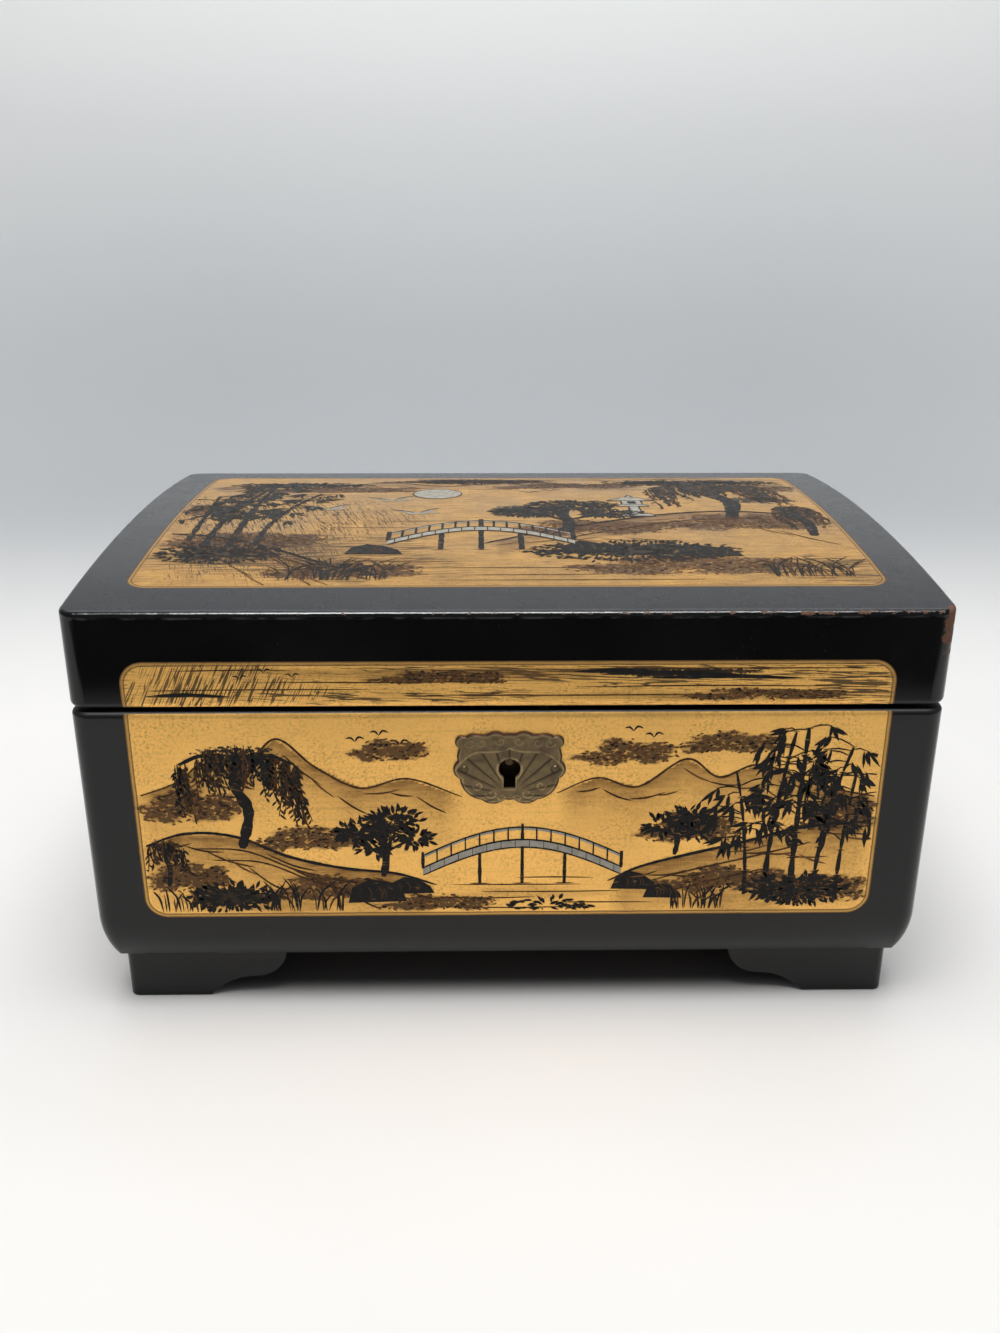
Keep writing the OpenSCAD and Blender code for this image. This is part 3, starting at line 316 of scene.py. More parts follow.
@finish
def black_lacquer():
    """Glossy black lacquer with smudges, dust, a lid top worn by rubbing that also carries a painted bluish
    sheen, and worn places.
    """
    f = Finish("black_lacquer")
    black, wood = colour("lacquer"), colour("bare_wood")
    smudge = f.noise(22, 5, 0.62)
    dust = f.times(f.ramp(f.noise(1900, 2, 0.4), 0.72, 0.78), f.ramp(f.noise(35, 2), 0.42, 0.62))
    tone = f.mix(f.ramp(smudge, 0.3, 0.75), black, darker(black, 1.9))
    tone = f.mix(f.times(dust, 0.35), tone, DUST)
    # Above its edge level the lid top is worn by rubbing and rougher, and its colour is lifted to a bluish
    # grey as a painted sheen
    rubbed_and_sheen = f.ramp(f.axis("Z"), (LID_EDGE_Z - 0.2) * MM, (LID_EDGE_Z + 0.2) * MM)
    rubbed_and_sheen = f.times(rubbed_and_sheen, f.ramp(f.noise(70, 4, 0.6), 0.25, 0.75, 0.8, 1.0))
    tone = f.mix(rubbed_and_sheen, tone, HAZE_AND_SHEEN)
    edge = f.ramp(f.far_from((0, 1, 1), mm(0, FRONT_Y, LID_EDGE_Z)), 0.6 * MM, 2.4 * MM, 1, 0)
    chips = worn_places(f, f.noise(1, 4, 0.62, f.stretched((330, 420, 420))), edge)
    f.set(Base_Color=f.mix(chips, tone, f.mix(f.noise(900, 3), wood, darker(wood, 0.35))))
    gloss = f.plus(f.ramp(smudge, 0.35, 0.8, 0.05, 0.15), f.times(dust, 0.3))
    gloss = f.most(gloss, f.times(rubbed_and_sheen, 0.3))
    from_seam = f.unsigned(f.less(f.axis("Z"), (SEAM_Z + LID_Z) / 2 * MM))
    seam = f.ramp(from_seam, 1.2 * MM, 2.8 * MM, 0.5, 0)
    gloss = f.most(gloss, f.times(seam, f.ramp(f.noise(900, 3), 0.35, 0.65, 0.85, 1.0)))
    f.set(Roughness=f.most(gloss, f.times(chips, 0.75)), IOR=1.4)
    swell = f.less(f.times(f.noise(55, 1), 0.5), chips)
    f.bump(f.plus(swell, f.times(f.times(edge, f.noise(240, 2)), 7.0)), 0.25, 0.12)
    return f


@finish
def gilt_ground():
    """Gold paint with brush marks; washes, leaves and dry strokes follow the panel's own attributes."""
    f = Finish("gilt_ground")
    gold, brown, ink = colour("gilt"), colour("wash"), colour("ink")
    cloud = f.noise(38, 4, 0.6)
    along = f.noise(1, 4, 0.65, f.stretched((24, 700, 1100)))
    tone = f.mix(f.ramp(cloud, 0.3, 0.72), darker(gold, 0.88), gold)
    tone = f.mix(f.ramp(along, 0.54, 0.74, 0, 0.34), tone, darker(gold, 0.5))
    speckled = f.ramp(f.noise(80, 3, 0.6), 0.38, 0.62, 0.25, 0.85)
    tone = f.mix(f.ramp(f.noise(1100, 5, 0.75), 0.45, 0.66, 0, speckled), tone, darker(gold, 0.5))
    wash = f.times(f.attribute("wash"), f.ramp(f.noise(90, 4, 0.65), 0.25, 0.6, 0.7, 1.0))
    streak = f.ramp(f.noise(1, 4, 0.6, f.stretched((120, 420, 900))), 0.3, 0.65, 0.7, 1.0)
    tone = f.mix(f.times(wash, streak), tone, darker(brown, 0.8))
    leafy = f.attribute("dabs")
    smear = f.less(f.times(leafy, 0.95), f.noise(1, 4, 0.7, f.stretched((75, 120, 170))))
    tone = f.mix(f.ramp(smear, 0.0, 0.34, 0, 0.5), tone, darker(brown, 0.8))
    grain = f.noise(1, 3, 0.62, f.stretched((600, 800, 1050)))
    touch = f.ramp(f.less(f.times(leafy, 0.6), grain), -0.02, 0.03, 0, 0.85)
    tone = f.mix(touch, tone, f.mix(f.noise(300, 2), darker(brown, 0.14), darker(brown, 0.55)))
    dark = f.ramp(f.less(f.times(f.attribute("dark"), 0.74), grain), -0.04, 0.02, 0, 0.97)
    tone = f.mix(dark, tone, ink)
    dry = f.fine_lines(f.attribute("dry"), (16, 1100, 1100), (0, math.radians(1.5), math.radians(2)))
    hatch = f.fine_lines(f.attribute("hatch"), (900, 55, 55), (0, math.radians(24), math.radians(18)))
    dry = f.most(dry, hatch)
    tone = f.mix(dry, tone, f.mix(f.ramp(f.noise(60, 2), 0.4, 0.6), ink, darker(brown, 0.35)))
    rim = f.plus(f.attribute("rim"), f.times(f.noise(160, 2), 0.3))
    tone = f.mix(f.ramp(rim, 1.05, 1.2, 0.75, 0), tone, darker(gold, 0.4))
    ring = f.times(f.ramp(rim, 1.05, 1.2), f.ramp(rim, 1.45, 1.65, 0.8, 0))
    ring = f.most(ring, f.ramp(rim, 0.35, 0.65, 0.9, 0))
    f.set(Base_Color=f.mix(ring, tone, darker(brown, 0.5)))
    paint = f.most(f.most(dark, dry), f.most(touch, ring))
    f.set(Metallic=f.ramp(paint, 0.1, 0.8, 0.78, 0.05))
    f.set(Roughness=f.plus(f.ramp(cloud, 0.3, 0.75, 0.33, 0.43), f.times(paint, 0.12)))
    f.set(Coat_Weight=0.06, Coat_Roughness=0.2, Specular_IOR_Level=0.2)
    f.bump(f.plus(f.times(along, 0.5), f.times(paint, 0.6)), 0.25, 0.06)
    return f


# Paints of the strokes: their colour setting, the share of it, and the share that their streaks go to.
# Ink is the darkest, umber thinner, pale serves bridge, lantern, moon and cranes, sienna the far leaves
PAINTS = {
    "ink": ("ink", 1.0, 2.4),
    "umber": ("wash", 0.42, 0.45),
    "pale": ("pale", 1.0, 0.72),
    "sienna": ("wash", 0.95, 0.5),
}


def paint_finish(name):
    """Thin paint with gold showing through its streaks, made once."""
    if name not in FINISHES:
        setting, share, spread = PAINTS[name]
        f = Finish(name + "_paint")
        wet = darker(colour(setting), share)
        body = f.noise(420, 4, 0.65)
        streak = f.noise(1, 3, 0.6, f.stretched((300, 300, 1200)))
        tone = f.mix(f.ramp(body, 0.35, 0.7), wet, darker(wet, spread))
        tone = f.mix(f.ramp(streak, 0.6, 0.75, 0, 0.5), tone, darker(colour("gilt"), 0.35))
        f.set(Base_Color=tone, Roughness=f.ramp(body, 0.3, 0.7, 0.38, 0.58), Specular_IOR_Level=0.15)
        f.bump(body, 0.25, 0.05)
        FINISHES[name] = f.material
    return FINISHES[name]


@finish
def aged_brass():
    """Dark pressed brass, brighter on the high lines and reddish brown at the rim."""
    f = Finish("aged_brass")
    brass = colour("aged_brass")
    grime = f.noise(420, 4, 0.65)
    spots = f.noise(120, 3, 0.6)
    tone = f.mix(f.ramp(grime, 0.32, 0.72), darker(brass, 0.62), brass)
    tone = f.mix(f.ramp(f.attribute("relief"), 0.52, 0.95, 0, 0.75), tone, darker(brass, 2.1))
    tone = f.mix(f.ramp(f.attribute("relief"), 0.14, 0.42, 0.85, 0), tone, darker(brass, 0.22))
    tone = f.mix(f.ramp(f.attribute("edge"), 0.15, 0.8, 0.85, 0), tone, DARK_RIM)
    tone = f.mix(f.ramp(spots, 0.52, 0.68, 0, 0.7), tone, TARNISH)
    f.set(Base_Color=tone, Metallic=0.72, Roughness=f.ramp(grime, 0.3, 0.7, 0.42, 0.62))
    f.bump(grime, 0.3, 0.08)
    return f


@finish
def polished_brass():
    """Turned and rolled brass with fine scratches and darker patches."""
    f = Finish("polished_brass")
    brass = colour("brass")
    cloud = f.noise(130, 4, 0.6)
    scratch = f.noise(1, 2, 0.5, f.stretched((160, 5200, 5200), (0.2, 0.4, 0.3)))
    tone = f.mix(f.ramp(cloud, 0.35, 0.75), brass, darker(brass, 0.74))
    f.set(Base_Color=tone, Metallic=1.0)
    f.set(Roughness=f.plus(f.ramp(cloud, 0.3, 0.75, 0.2, 0.38), f.ramp(scratch, 0.6, 0.75, 0, 0.12)))
    f.bump(scratch, 0.05, 0.02)
    return f


@finish
def dull_brass():
    """Brown, never polished brass of the lock and the nails."""
    f = Finish("dull_brass")
    brass = colour("aged_brass")
    grime = f.noise(520, 4, 0.65)
    filed = f.noise(1, 3, 0.6, f.stretched((260, 4200, 4200)))
    tone = f.mix(f.ramp(grime, 0.25, 0.75), darker(brass, 0.8), darker(brass, 0.56))
    tone = f.mix(f.ramp(filed, 0.46, 0.66, 0, 0.45), tone, darker(brass, 0.36))
    tone = f.mix(f.ramp(f.noise(140, 3), 0.5, 0.7, 0, 0.6), tone, RED_TARNISH)
    f.set(Base_Color=tone, Metallic=0.85, Roughness=f.ramp(grime, 0.3, 0.7, 0.38, 0.55))
    f.bump(f.plus(f.times(grime, 0.5), filed), 0.2, 0.05)
    return f


@finish
def bright_steel():
    """Ground steel with fine lines along the work."""
    f = Finish("bright_steel")
    steel = colour("steel")
    cloud = f.noise(160, 3, 0.6)
    ground = f.noise(1, 2, 0.5, f.stretched((4800, 160, 3200)))
    tone = f.mix(f.ramp(cloud, 0.35, 0.75), steel, darker(steel, 0.7))
    f.set(Base_Color=tone, Metallic=1.0, Roughness=f.ramp(ground, 0.3, 0.75, 0.22, 0.4))
    f.bump(ground, 0.04, 0.02)
    return f


@finish
def cast_metal():
    """Grainy cast zinc of the bedplate."""
    f = Finish("cast_metal")
    cast = colour("cast")
    grain = f.noise(900, 4, 0.65)
    cloud = f.noise(90, 3, 0.6)
    tone = f.mix(f.ramp(cloud, 0.3, 0.75), cast, darker(cast, 0.7))
    f.set(Base_Color=tone, Metallic=0.85, Roughness=f.ramp(grain, 0.3, 0.7, 0.42, 0.6))
    f.bump(grain, 0.35, 0.08)
    return f


@finish
def red_velvet():
    """Short-pile velvet with brushed patches."""
    f = Finish("red_velvet")
    red = colour("velvet")
    brushed = f.noise(45, 4, 0.6, None, 0.6)
    pile = f.noise(3200, 2, 0.6)
    tone = f.mix(f.ramp(brushed, 0.32, 0.7), darker(red, 0.55), darker(red, 1.25))
    tone = f.mix(f.ramp(pile, 0.35, 0.7, 0, 0.5), tone, darker(red, 0.4))
    f.set(Base_Color=tone, Roughness=0.92, Specular_IOR_Level=0.2)
    f.set(Sheen_Weight=0.45, Sheen_Roughness=0.35, Sheen_Tint=(1.0, 0.35, 0.38, 1.0))
    f.bump(f.plus(pile, f.times(brushed, 0.4)), 0.5, 0.2)
    return f


@finish
def plain_wood():
    """Plain softwood board with straight grain."""
    f = Finish("plain_wood")
    wood = colour("bare_wood")
    grain = f.waves(9, 7, 3, f.stretched((0.6, 9, 9)))
    pores = f.noise(1, 3, 0.6, f.stretched((60, 1600, 1600)))
    tone = f.mix(f.ramp(grain, 0.2, 0.9), wood, darker(wood, 0.55))
    tone = f.mix(f.ramp(pores, 0.55, 0.72, 0, 0.6), tone, darker(wood, 0.35))
    f.set(Base_Color=tone, Roughness=f.ramp(pores, 0.3, 0.7, 0.55, 0.75))
    f.bump(pores, 0.3, 0.1)
    return f


@finish
def clear_sheet():
    """Clear plastic cover with faint scuffs."""
    f = Finish("clear_sheet")
    scuff = f.noise(1, 4, 0.6, f.stretched((120, 900, 900), (0, 0, 0.5)))
    f.set(Base_Color=f.mix(f.ramp(scuff, 0.55, 0.8, 0, 0.3), CLEAR, SCUFFED))
    f.set(Roughness=f.ramp(scuff, 0.45, 0.8, 0.02, 0.16), Transmission_Weight=1.0, IOR=1.49)
    return f


@finish
def mirror_glass():
    """Silvered glass with a little foxing."""
    f = Finish("mirror_glass")
    fox = f.noise(260, 5, 0.7)
    haze = f.noise(18, 3, 0.6)
    tone = f.mix(f.ramp(fox, 0.7, 0.78, 0, 0.8), SILVERING, FOXING)
    f.set(Base_Color=tone, Metallic=1.0, Roughness=f.ramp(haze, 0.4, 0.8, 0.015, 0.06))
    return f


def soften(node, width, material, slot, segments, where=None, clamp=True):
    """A copy of a node whose hard edges are rounded, or only those whose points pass a test."""
    piece = bpy.data.objects.new(node + "_eased", NODES[node].data.copy())
    bpy.context.scene.collection.objects.link(piece)
    edit(piece, "EDGE")
    bpy.ops.mesh.remove_doubles(threshold=2e-6)
    bpy.ops.mesh.customdata_custom_splitnormals_clear()
    bpy.ops.mesh.dissolve_limited(angle_limit=math.radians(0.4))
    bpy.ops.mesh.select_all(action="DESELECT")
    bpy.ops.mesh.edges_select_sharp(sharpness=SHARP)
    if where:
        bpy.ops.object.mode_set(mode="OBJECT")
        for e in piece.data.edges:
            e.select = e.select and all(where(piece.data.vertices[i].co / MM) for i in e.vertices)
        bpy.ops.object.mode_set(mode="EDIT")
    bpy.ops.mesh.bevel(
        offset=width * MM, segments=segments, affect="EDGES", clamp_overlap=clamp, loop_slide=False)
    pick(piece)
    bpy.ops.object.shade_smooth_by_angle(angle=SHARP)
    bpy.ops.object.modifier_add(type="WEIGHTED_NORMAL")
    piece.modifiers[-1].keep_sharp = True
    bpy.ops.object.modifier_apply(modifier=piece.modifiers[-1].name)
    start()
    return dress(piece, [material], BODY_OF[node], slot, node)


def length(name, note, value):
    """A length setting, its default in millimetres."""
    return bpy.props.FloatProperty(name=name, description=note, default=value * MM, unit="LENGTH")


def shade(name, note, value):
    """A colour setting."""
    return bpy.props.FloatVectorProperty(
        name=name, description=note, subtype="COLOR", size=3, min=0.0, max=1.0, default=value)


class JewelSizes(bpy.types.PropertyGroup):
    """Sizes of the finer forms that the dressed pieces add."""

    lid_edge: length("Lid edge", "Rounding of the lid's upper edge", 1.3)
    foot_edge: length("Foot edge", "Rounding of the edges of the feet", 0.5)
    gilt_pitch: length("Ground pitch", "Distance between the points of a gilt ground", 0.6)
    relief: length("Plate relief", "Height of the pressed lines on the escutcheon", 0.3)


class JewelColours(bpy.types.PropertyGroup):
    """Colours of the box."""

    lacquer: shade("Lacquer", "Black lacquer of body, lid and feet", (0.0018, 0.0018, 0.0018))
    gilt: shade("Gilt", "Gold paint of the grounds", (1.0, 0.57, 0.155))
    wash: shade("Wash", "Brown washes of the painted scene", (0.17, 0.075, 0.024))
    ink: shade("Ink", "Darkest strokes of the painted scene", (0.006, 0.0055, 0.005))
    pale: shade("Pale paint", "Grey-white of bridge, lantern, moon and cranes", (0.36, 0.34, 0.29))
    aged_brass: shade("Aged brass", "Escutcheon and its nails", (0.2, 0.142, 0.07))
    brass: shade("Brass", "Hinges, lock and movement", (0.62, 0.43, 0.16))
    steel: shade("Steel", "Comb, screws and arbors", (0.56, 0.56, 0.57))
    cast: shade("Cast metal", "Bedplate of the movement", (0.36, 0.36, 0.35))
    velvet: shade("Velvet", "Linings, tray and ring rolls", (0.24, 0.012, 0.02))
    bare_wood: shade("Bare wood", "Worn edges of the lacquer", (0.17, 0.07, 0.032))


class Ground:
    """A gilt ground as a fine sheet: its outline, its place on the box and the marks painted on it."""

    # Width of the plain band inside the outline, in millimetres
    RIM = 1.5

    def __init__(self, u0, u1, v0, v1, radius, round_low, round_high, lay):
        self.u0, self.u1, self.v0, self.v1 = u0, u1, v0, v1
        self.radius, self.round_low, self.round_high = radius, round_low, round_high
        self.lay = lay

    def warp(self, u, v):
        """Moves a point of the full rectangle to its place inside the rounded corners."""
        r = self.radius
        right, high = u > 0, v > (self.v0 + self.v1) / 2
        if not (self.round_high if high else self.round_low):
            return u, v
        out_u, out_v = (1 if right else -1), (1 if high else -1)
        cu = self.u1 - r if right else self.u0 + r
        cv = self.v1 - r if high else self.v0 + r
        a = max(0.0, (u - cu) * out_u) / r
        b = max(0.0, (v - cv) * out_v) / r
        if a <= 0 or b <= 0:
            return u, v
        return cu + out_u * r * a * math.sqrt(1 - b * b / 2), cv + out_v * r * b * math.sqrt(1 - a * a / 2)

    def rim_distance(self, u, v):
        """Distance from the outline, inwards."""
        r = self.radius
        du = np.minimum(u - self.u0, self.u1 - u)
        low = v - self.v0 + (0.0 if self.round_low else self.RIM)
        high = self.v1 - v + (0.0 if self.round_high else self.RIM)
        d = np.minimum(du, np.minimum(low, high))
        for near, rounded in ((low, self.round_low), (high, self.round_high)):
            if rounded:
                corner = (du < r) & (near < r)
                d = np.where(corner, r - np.hypot(r - du, r - near), d)
        return d

    def sheet(self, name, pitch, marks):
        """The fine sheet with its painted marks stored on its points."""
        w, h = self.u1 - self.u0, self.v1 - self.v0
        start()
        columns, rows = round(w / pitch), round(h / pitch)
        bpy.ops.mesh.primitive_grid_add(x_subdivisions=columns, y_subdivisions=rows, size=1.0)
        piece = bpy.context.object
        piece.name = piece.data.name = name
        flat = np.array([v.co for v in piece.data.vertices])
        uv = np.array([self.warp(self.u0 + (x + 0.5) * w, self.v0 + (y + 0.5) * h) for x, y, _ in flat])
        u, v = uv[:, 0], uv[:, 1]
        places = np.array([tuple(self.lay(a, b, 0.0)) for a, b in uv], np.float32)
        piece.data.vertices.foreach_set("co", places.ravel())
        piece.data.update()
        values = marks(u, v)
        values["rim"] = self.rim_distance(u, v)
        for key, value in values.items():
            float_attribute(piece, key, value)
        pick(piece)
        bpy.ops.object.shade_smooth()
        return piece


def seam_round(past):
    """How far a rounded seam edge falls back, at a distance past its start."""
    return SEAM_R - math.sqrt(max(0.0, SEAM_R ** 2 - max(0.0, past) ** 2))


def lay_front(u, v, lift):
    """Front of the body: u across, v up."""
    return mm(u, FRONT_Y + seam_round(v - (SEAM_Z - SEAM_R)) - lift, v)


def lay_lid_front(u, v, lift):
    """Front of the lid: u across, v up."""
    return mm(u, FRONT_Y + seam_round(LID_Z + SEAM_R - v) - lift, v)


def lay_top(u, v, lift):
    """Arched top of the lid: u across, v to the back."""
    r = ARCH_R + lift
    y = v * r / ARCH_R
    return mm(u, y, CREST_Z - ARCH_R + math.sqrt(r * r - y * y))


FRONT = Ground(-111, 111, 33, 100.9, 7, True, False, lay_front)
LID_FRONT = Ground(-111, 111, 103.1, 117, 6.9, False, True, lay_lid_front)
TOP = Ground(-112.5, 112.5, -71.5, 71.5, 7, True, True, lay_top)


def under_ridge(u, v, line, depth, strength):
    """A wash that is darkest just under a ridge line and fades downwards."""
    xs, ys = zip(*line)
    below = np.interp(u, xs, ys) - v
    inside = (u >= xs[0]) & (u <= xs[-1])
    ends = np.clip(np.minimum(u - xs[0], xs[-1] - u) / 6, 0, 1)
    return np.where(inside & (below > 0), strength * np.exp(-np.maximum(below, 0) / depth) * ends, 0)


def patches(u, v, rows):
    """Soft uneven ovals, each [u, v, half width, half height, strength]."""
    total = np.zeros_like(u)
    for cu, cv, a, b, strength in rows:
        x, y = (u - cu) / a, (v - cv) / b
        t = np.arctan2(y, x)
        wobble = 1 + 0.15 * np.sin(3 * t + cv) + 0.1 * np.sin(5 * t - cu) + 0.07 * np.sin(11 * t + cu)
        total = np.maximum(total, strength * np.clip(1.25 - (x * x + y * y) / wobble ** 2, 0, 1))
    return total


# Smaller ovals that make up a lumpy one, as shares of its half width and half height
LUMPS = ((-0.46, -0.28, 0.62, 0.55), (0.44, -0.2, 0.64, 0.58), (-0.08, 0.36, 0.6, 0.6),
         (0.62, 0.3, 0.4, 0.42))


def lumps(rows):
    """Splits each oval [u, v, half width, half height] into four smaller ones."""
    return [(u + x * a, v + y * b, a * p, b * q) for u, v, a, b in rows for x, y, p, q in LUMPS]


def placed(drawing, u, v, k=1.0):
    """A little drawing moved to its place and scaled."""
    return [(u + x * k, v + y * k) for x, y in drawing]


# Little drawings round their own middle or foot, in millimetres
LANTERN = (
    ((-3.2, 0), (3.2, 0), (2.6, 1.6), (-2.6, 1.6)),
    ((-1.1, 1.6), (1.1, 1.6), (0.9, 7.4), (-0.9, 7.4)),
    ((-3.0, 7.4), (3.0, 7.4), (2.4, 8.9), (-2.4, 8.9)),
    ((-1.9, 8.9), (1.9, 8.9), (1.9, 12.2), (-1.9, 12.2)),
    ((-4.6, 12.2), (4.6, 12.2), (1.2, 15.2), (-1.2, 15.2)),
    ((-0.8, 15.2), (0.8, 15.2), (0, 17.4)),
)
LANTERN_WINDOW = ((-0.8, 9.5), (0.8, 9.5), (0.8, 11.6), (-0.8, 11.6))
BIRD_WINGS = (((-2.6, 1.0), (-1.1, 1.3), (0, 0)), ((0, 0), (1.2, 1.5), (2.9, 0.9)))
CRANE_WINGS = (((-6, 3.6), (-2.6, 2.2), (0, 0.3), (-1.5, -0.3)),
               ((0, 0.3), (2.2, 3.2), (5.0, 5.2), (1.8, 0)))
CRANE_BODY = ((-2.4, -0.5), (0, 0), (2.6, 0.2), (5.2, 1.0))
CRANE_EDGES = (((-6, 3.6), (-3.4, 2.5), (-0.6, 0.8)), ((5.0, 5.2), (2.6, 3.3), (0.6, 0.8)))
# A boulder's outline, as shares of its half width and height
BOULDER = ((-1, 0), (-0.8, 0.62), (-0.25, 1), (0.35, 0.84), (0.86, 0.4), (1, 0))


class Brush:
    """Paint strokes in the plane of one ground, in millimetres, laid just over its surface."""

    SLOTS = {name: slot for slot, name in enumerate(PAINTS)}
    # Crossing strokes lie one over the other: a stroke's lift is multiplied, and a step follows its number
    THICK, STEP, LAYERS = 2.5, 0.0015, 12
    # How a line is drawn: its lift, the power of its swelling, the share of its width at its ends, its step
    MANNERS = {
        "cane": (0.03, 0.12, 0.6, 2.0), "joint": (0.035, 0.4, 0.3, 1.0), "twig": (0.03, 0.3, 0.5, 1.5),
        "trunk": (0.03, 0.25, 0.45, 1.2), "bough": (0.03, 0.3, 0.4, 1.2), "strand": (0.03, 0.3, 0.5, 2.0),
        "stem": (0.032, 0.2, 0.6, 1.2), "fork": (0.032, 0.3, 0.5, 1.2), "blade": (0.034, 0.5, 0.2, 1.6),
        "deck": (0.04, 0.1, 0.6, 1.2), "post": (0.042, 0.05, 0.8, 1.0), "plank": (0.04, 0.05, 0.8, 1.0),
        "pier": (0.032, 0.05, 0.8, 2.0), "stone": (0.042, 0.1, 0.7, 2.0), "crack": (0.04, 0.5, 0.12, 1.2),
        "wing": (0.03, 0.6, 0.15, 0.6), "neck": (0.034, 0.4, 0.2, 0.8), "feather": (0.04, 0.5, 0.2, 0.8),
        "ring": (0.03, 0.5, 0.12, 1.2), "ripple": (0.03, 0.5, 0.15, 4.0), "mist": (0.03, 0.6, 0.1, 3.0),
        "far_ridge": (0.028, 0.3, 0.2, 1.2), "ridge": (0.03, 0.3, 0.2, 1.2), "terrace": (0.03, 0.4, 0.2, 1.2),
        "long_ridge": (0.03, 0.3, 0.2, 3.0), "long_terrace": (0.03, 0.4, 0.2, 3.0),
        "fold": (0.028, 0.6, 0.1, 1.5), "moon": (0.034, 0.05, 0.7, 2.0),
    }
    LEAF = ((0, 0), (0.3, 0.42), (0.3, -0.42), (0.62, 0.46), (0.62, -0.46), (1, 0))
    LEAF_LIFT = 0.035

    def __init__(self, ground, seed):
        self.ground = ground
        self.chance = random.Random(seed)
        self.points, self.faces, self.paints = [], [], []
        self.laid = 0

    def add(self, outline, faces, paint, lift):
        """Lays the faces that keep clear of the ground's plain band."""
        uv = np.array([tuple(q) for q in outline], float)
        inside = self.ground.rim_distance(uv[:, 0], uv[:, 1]) > self.ground.RIM
        kept = [face for face in faces if inside[face].all()]
        base = len(self.points)
        lift = self.THICK * lift + self.STEP * (self.laid % self.LAYERS)
        self.laid += 1
        self.points += [self.ground.lay(u, v, lift) for u, v in uv]
        self.faces += [[base + i for i in face] for face in kept]
        self.paints += [self.SLOTS[paint]] * len(kept)

    def smooth(self, path, step):
        """Points along a smooth curve through the path."""
        p = [np.array(q, float) for q in path]
        p = [2 * p[0] - p[1], *p, 2 * p[-1] - p[-2]]
        out = []
        for a, b, c, d in zip(p, p[1:], p[2:], p[3:]):
            count = max(1, int(np.linalg.norm(c - b) / step))
            for i in range(count):
                t = i / count
                out.append(0.5 * (2 * b + (c - a) * t + (2 * a - 5 * b + 4 * c - d) * t * t
                                  + (3 * b - a - 3 * c + d) * t ** 3))
        out.append(p[-2])
        return out

    def stroke(self, path, width, paint, manner):
        """A brush line that swells and thins along its length."""
        lift, taper, tail, step = self.MANNERS[manner]
        line = self.smooth(path, step)
        count = len(line)
        outline = []
        for i, q in enumerate(line):
            ahead = line[min(i + 1, count - 1)] - line[max(i - 1, 0)]
            ahead = ahead / (np.linalg.norm(ahead) or 1)
            t = i / (count - 1)
            w = width / 2 * (tail + (1 - tail) * math.sin(math.pi * t) ** taper)
            w *= self.chance.uniform(0.82, 1.14)
            side = np.array([-ahead[1], ahead[0]]) * w
            outline += [q + side, q - side]
        faces = [[2 * i, 2 * i + 1, 2 * i + 3, 2 * i + 2] for i in range(count - 1)]
        self.add(outline, faces, paint, lift)

    def leaf(self, u, v, angle, length, width, paint="ink"):
        """A pointed leaf, slightly curved."""
        c, s = math.cos(angle), math.sin(angle)
        curl = self.chance.uniform(-0.12, 0.12) * length
        outline = []
        for a, b in self.LEAF:
            along, across = a * length, b * width + curl * a * a
            outline.append((u + along * c - across * s, v + along * s + across * c))
        self.add(outline, [[0, 2, 1], [1, 2, 4, 3], [3, 4, 5]], paint, self.LEAF_LIFT)

    def dab(self, u, v, a, b, paint, lift, angle, sides):
        """An uneven round touch of the brush."""
        c, s = math.cos(angle), math.sin(angle)
        outline = []
        for i in range(sides):
            t = 2 * math.pi * i / sides
            k = self.chance.uniform(0.78, 1.15)
            x, y = a * k * math.cos(t), b * k * math.sin(t)
            outline.append((u + x * c - y * s, v + x * s + y * c))
        self.add(outline, [list(range(sides))], paint, lift)

    def fill(self, outline, paint, lift=0.03):
        """A filled shape."""
        faces = tessellate_polygon([[Vector((u, v, 0)) for u, v in outline]])
        fixed = []
        for a, b, c in faces:
            (x0, y0), (x1, y1), (x2, y2) = outline[a], outline[b], outline[c]
            turn = (x1 - x0) * (y2 - y0) - (x2 - x0) * (y1 - y0)
            fixed.append([a, b, c] if turn > 0 else [a, c, b])
        self.add(outline, fixed, paint, lift)

    def finish(self, name, body):
        """The strokes as one piece."""
        piece = mesh_piece(name, self.points, self.faces)
        dress(piece, [paint_finish(name) for name in PAINTS], body, "gilt_ground")
        piece.data.polygons.foreach_set("material_index", self.paints)
        edit(piece)
        bpy.ops.mesh.delete_loose(use_verts=True, use_edges=True, use_faces=False)
        start()
        middle = (self.ground.v0 + self.ground.v1) / 2
        outward = self.ground.lay(0, middle, 1.0) - self.ground.lay(0, middle, 0.0)
        choose(piece, "FACE", lambda face: face.normal.dot(outward) < 0)
        bpy.ops.mesh.flip_normals()
        start()
        return piece

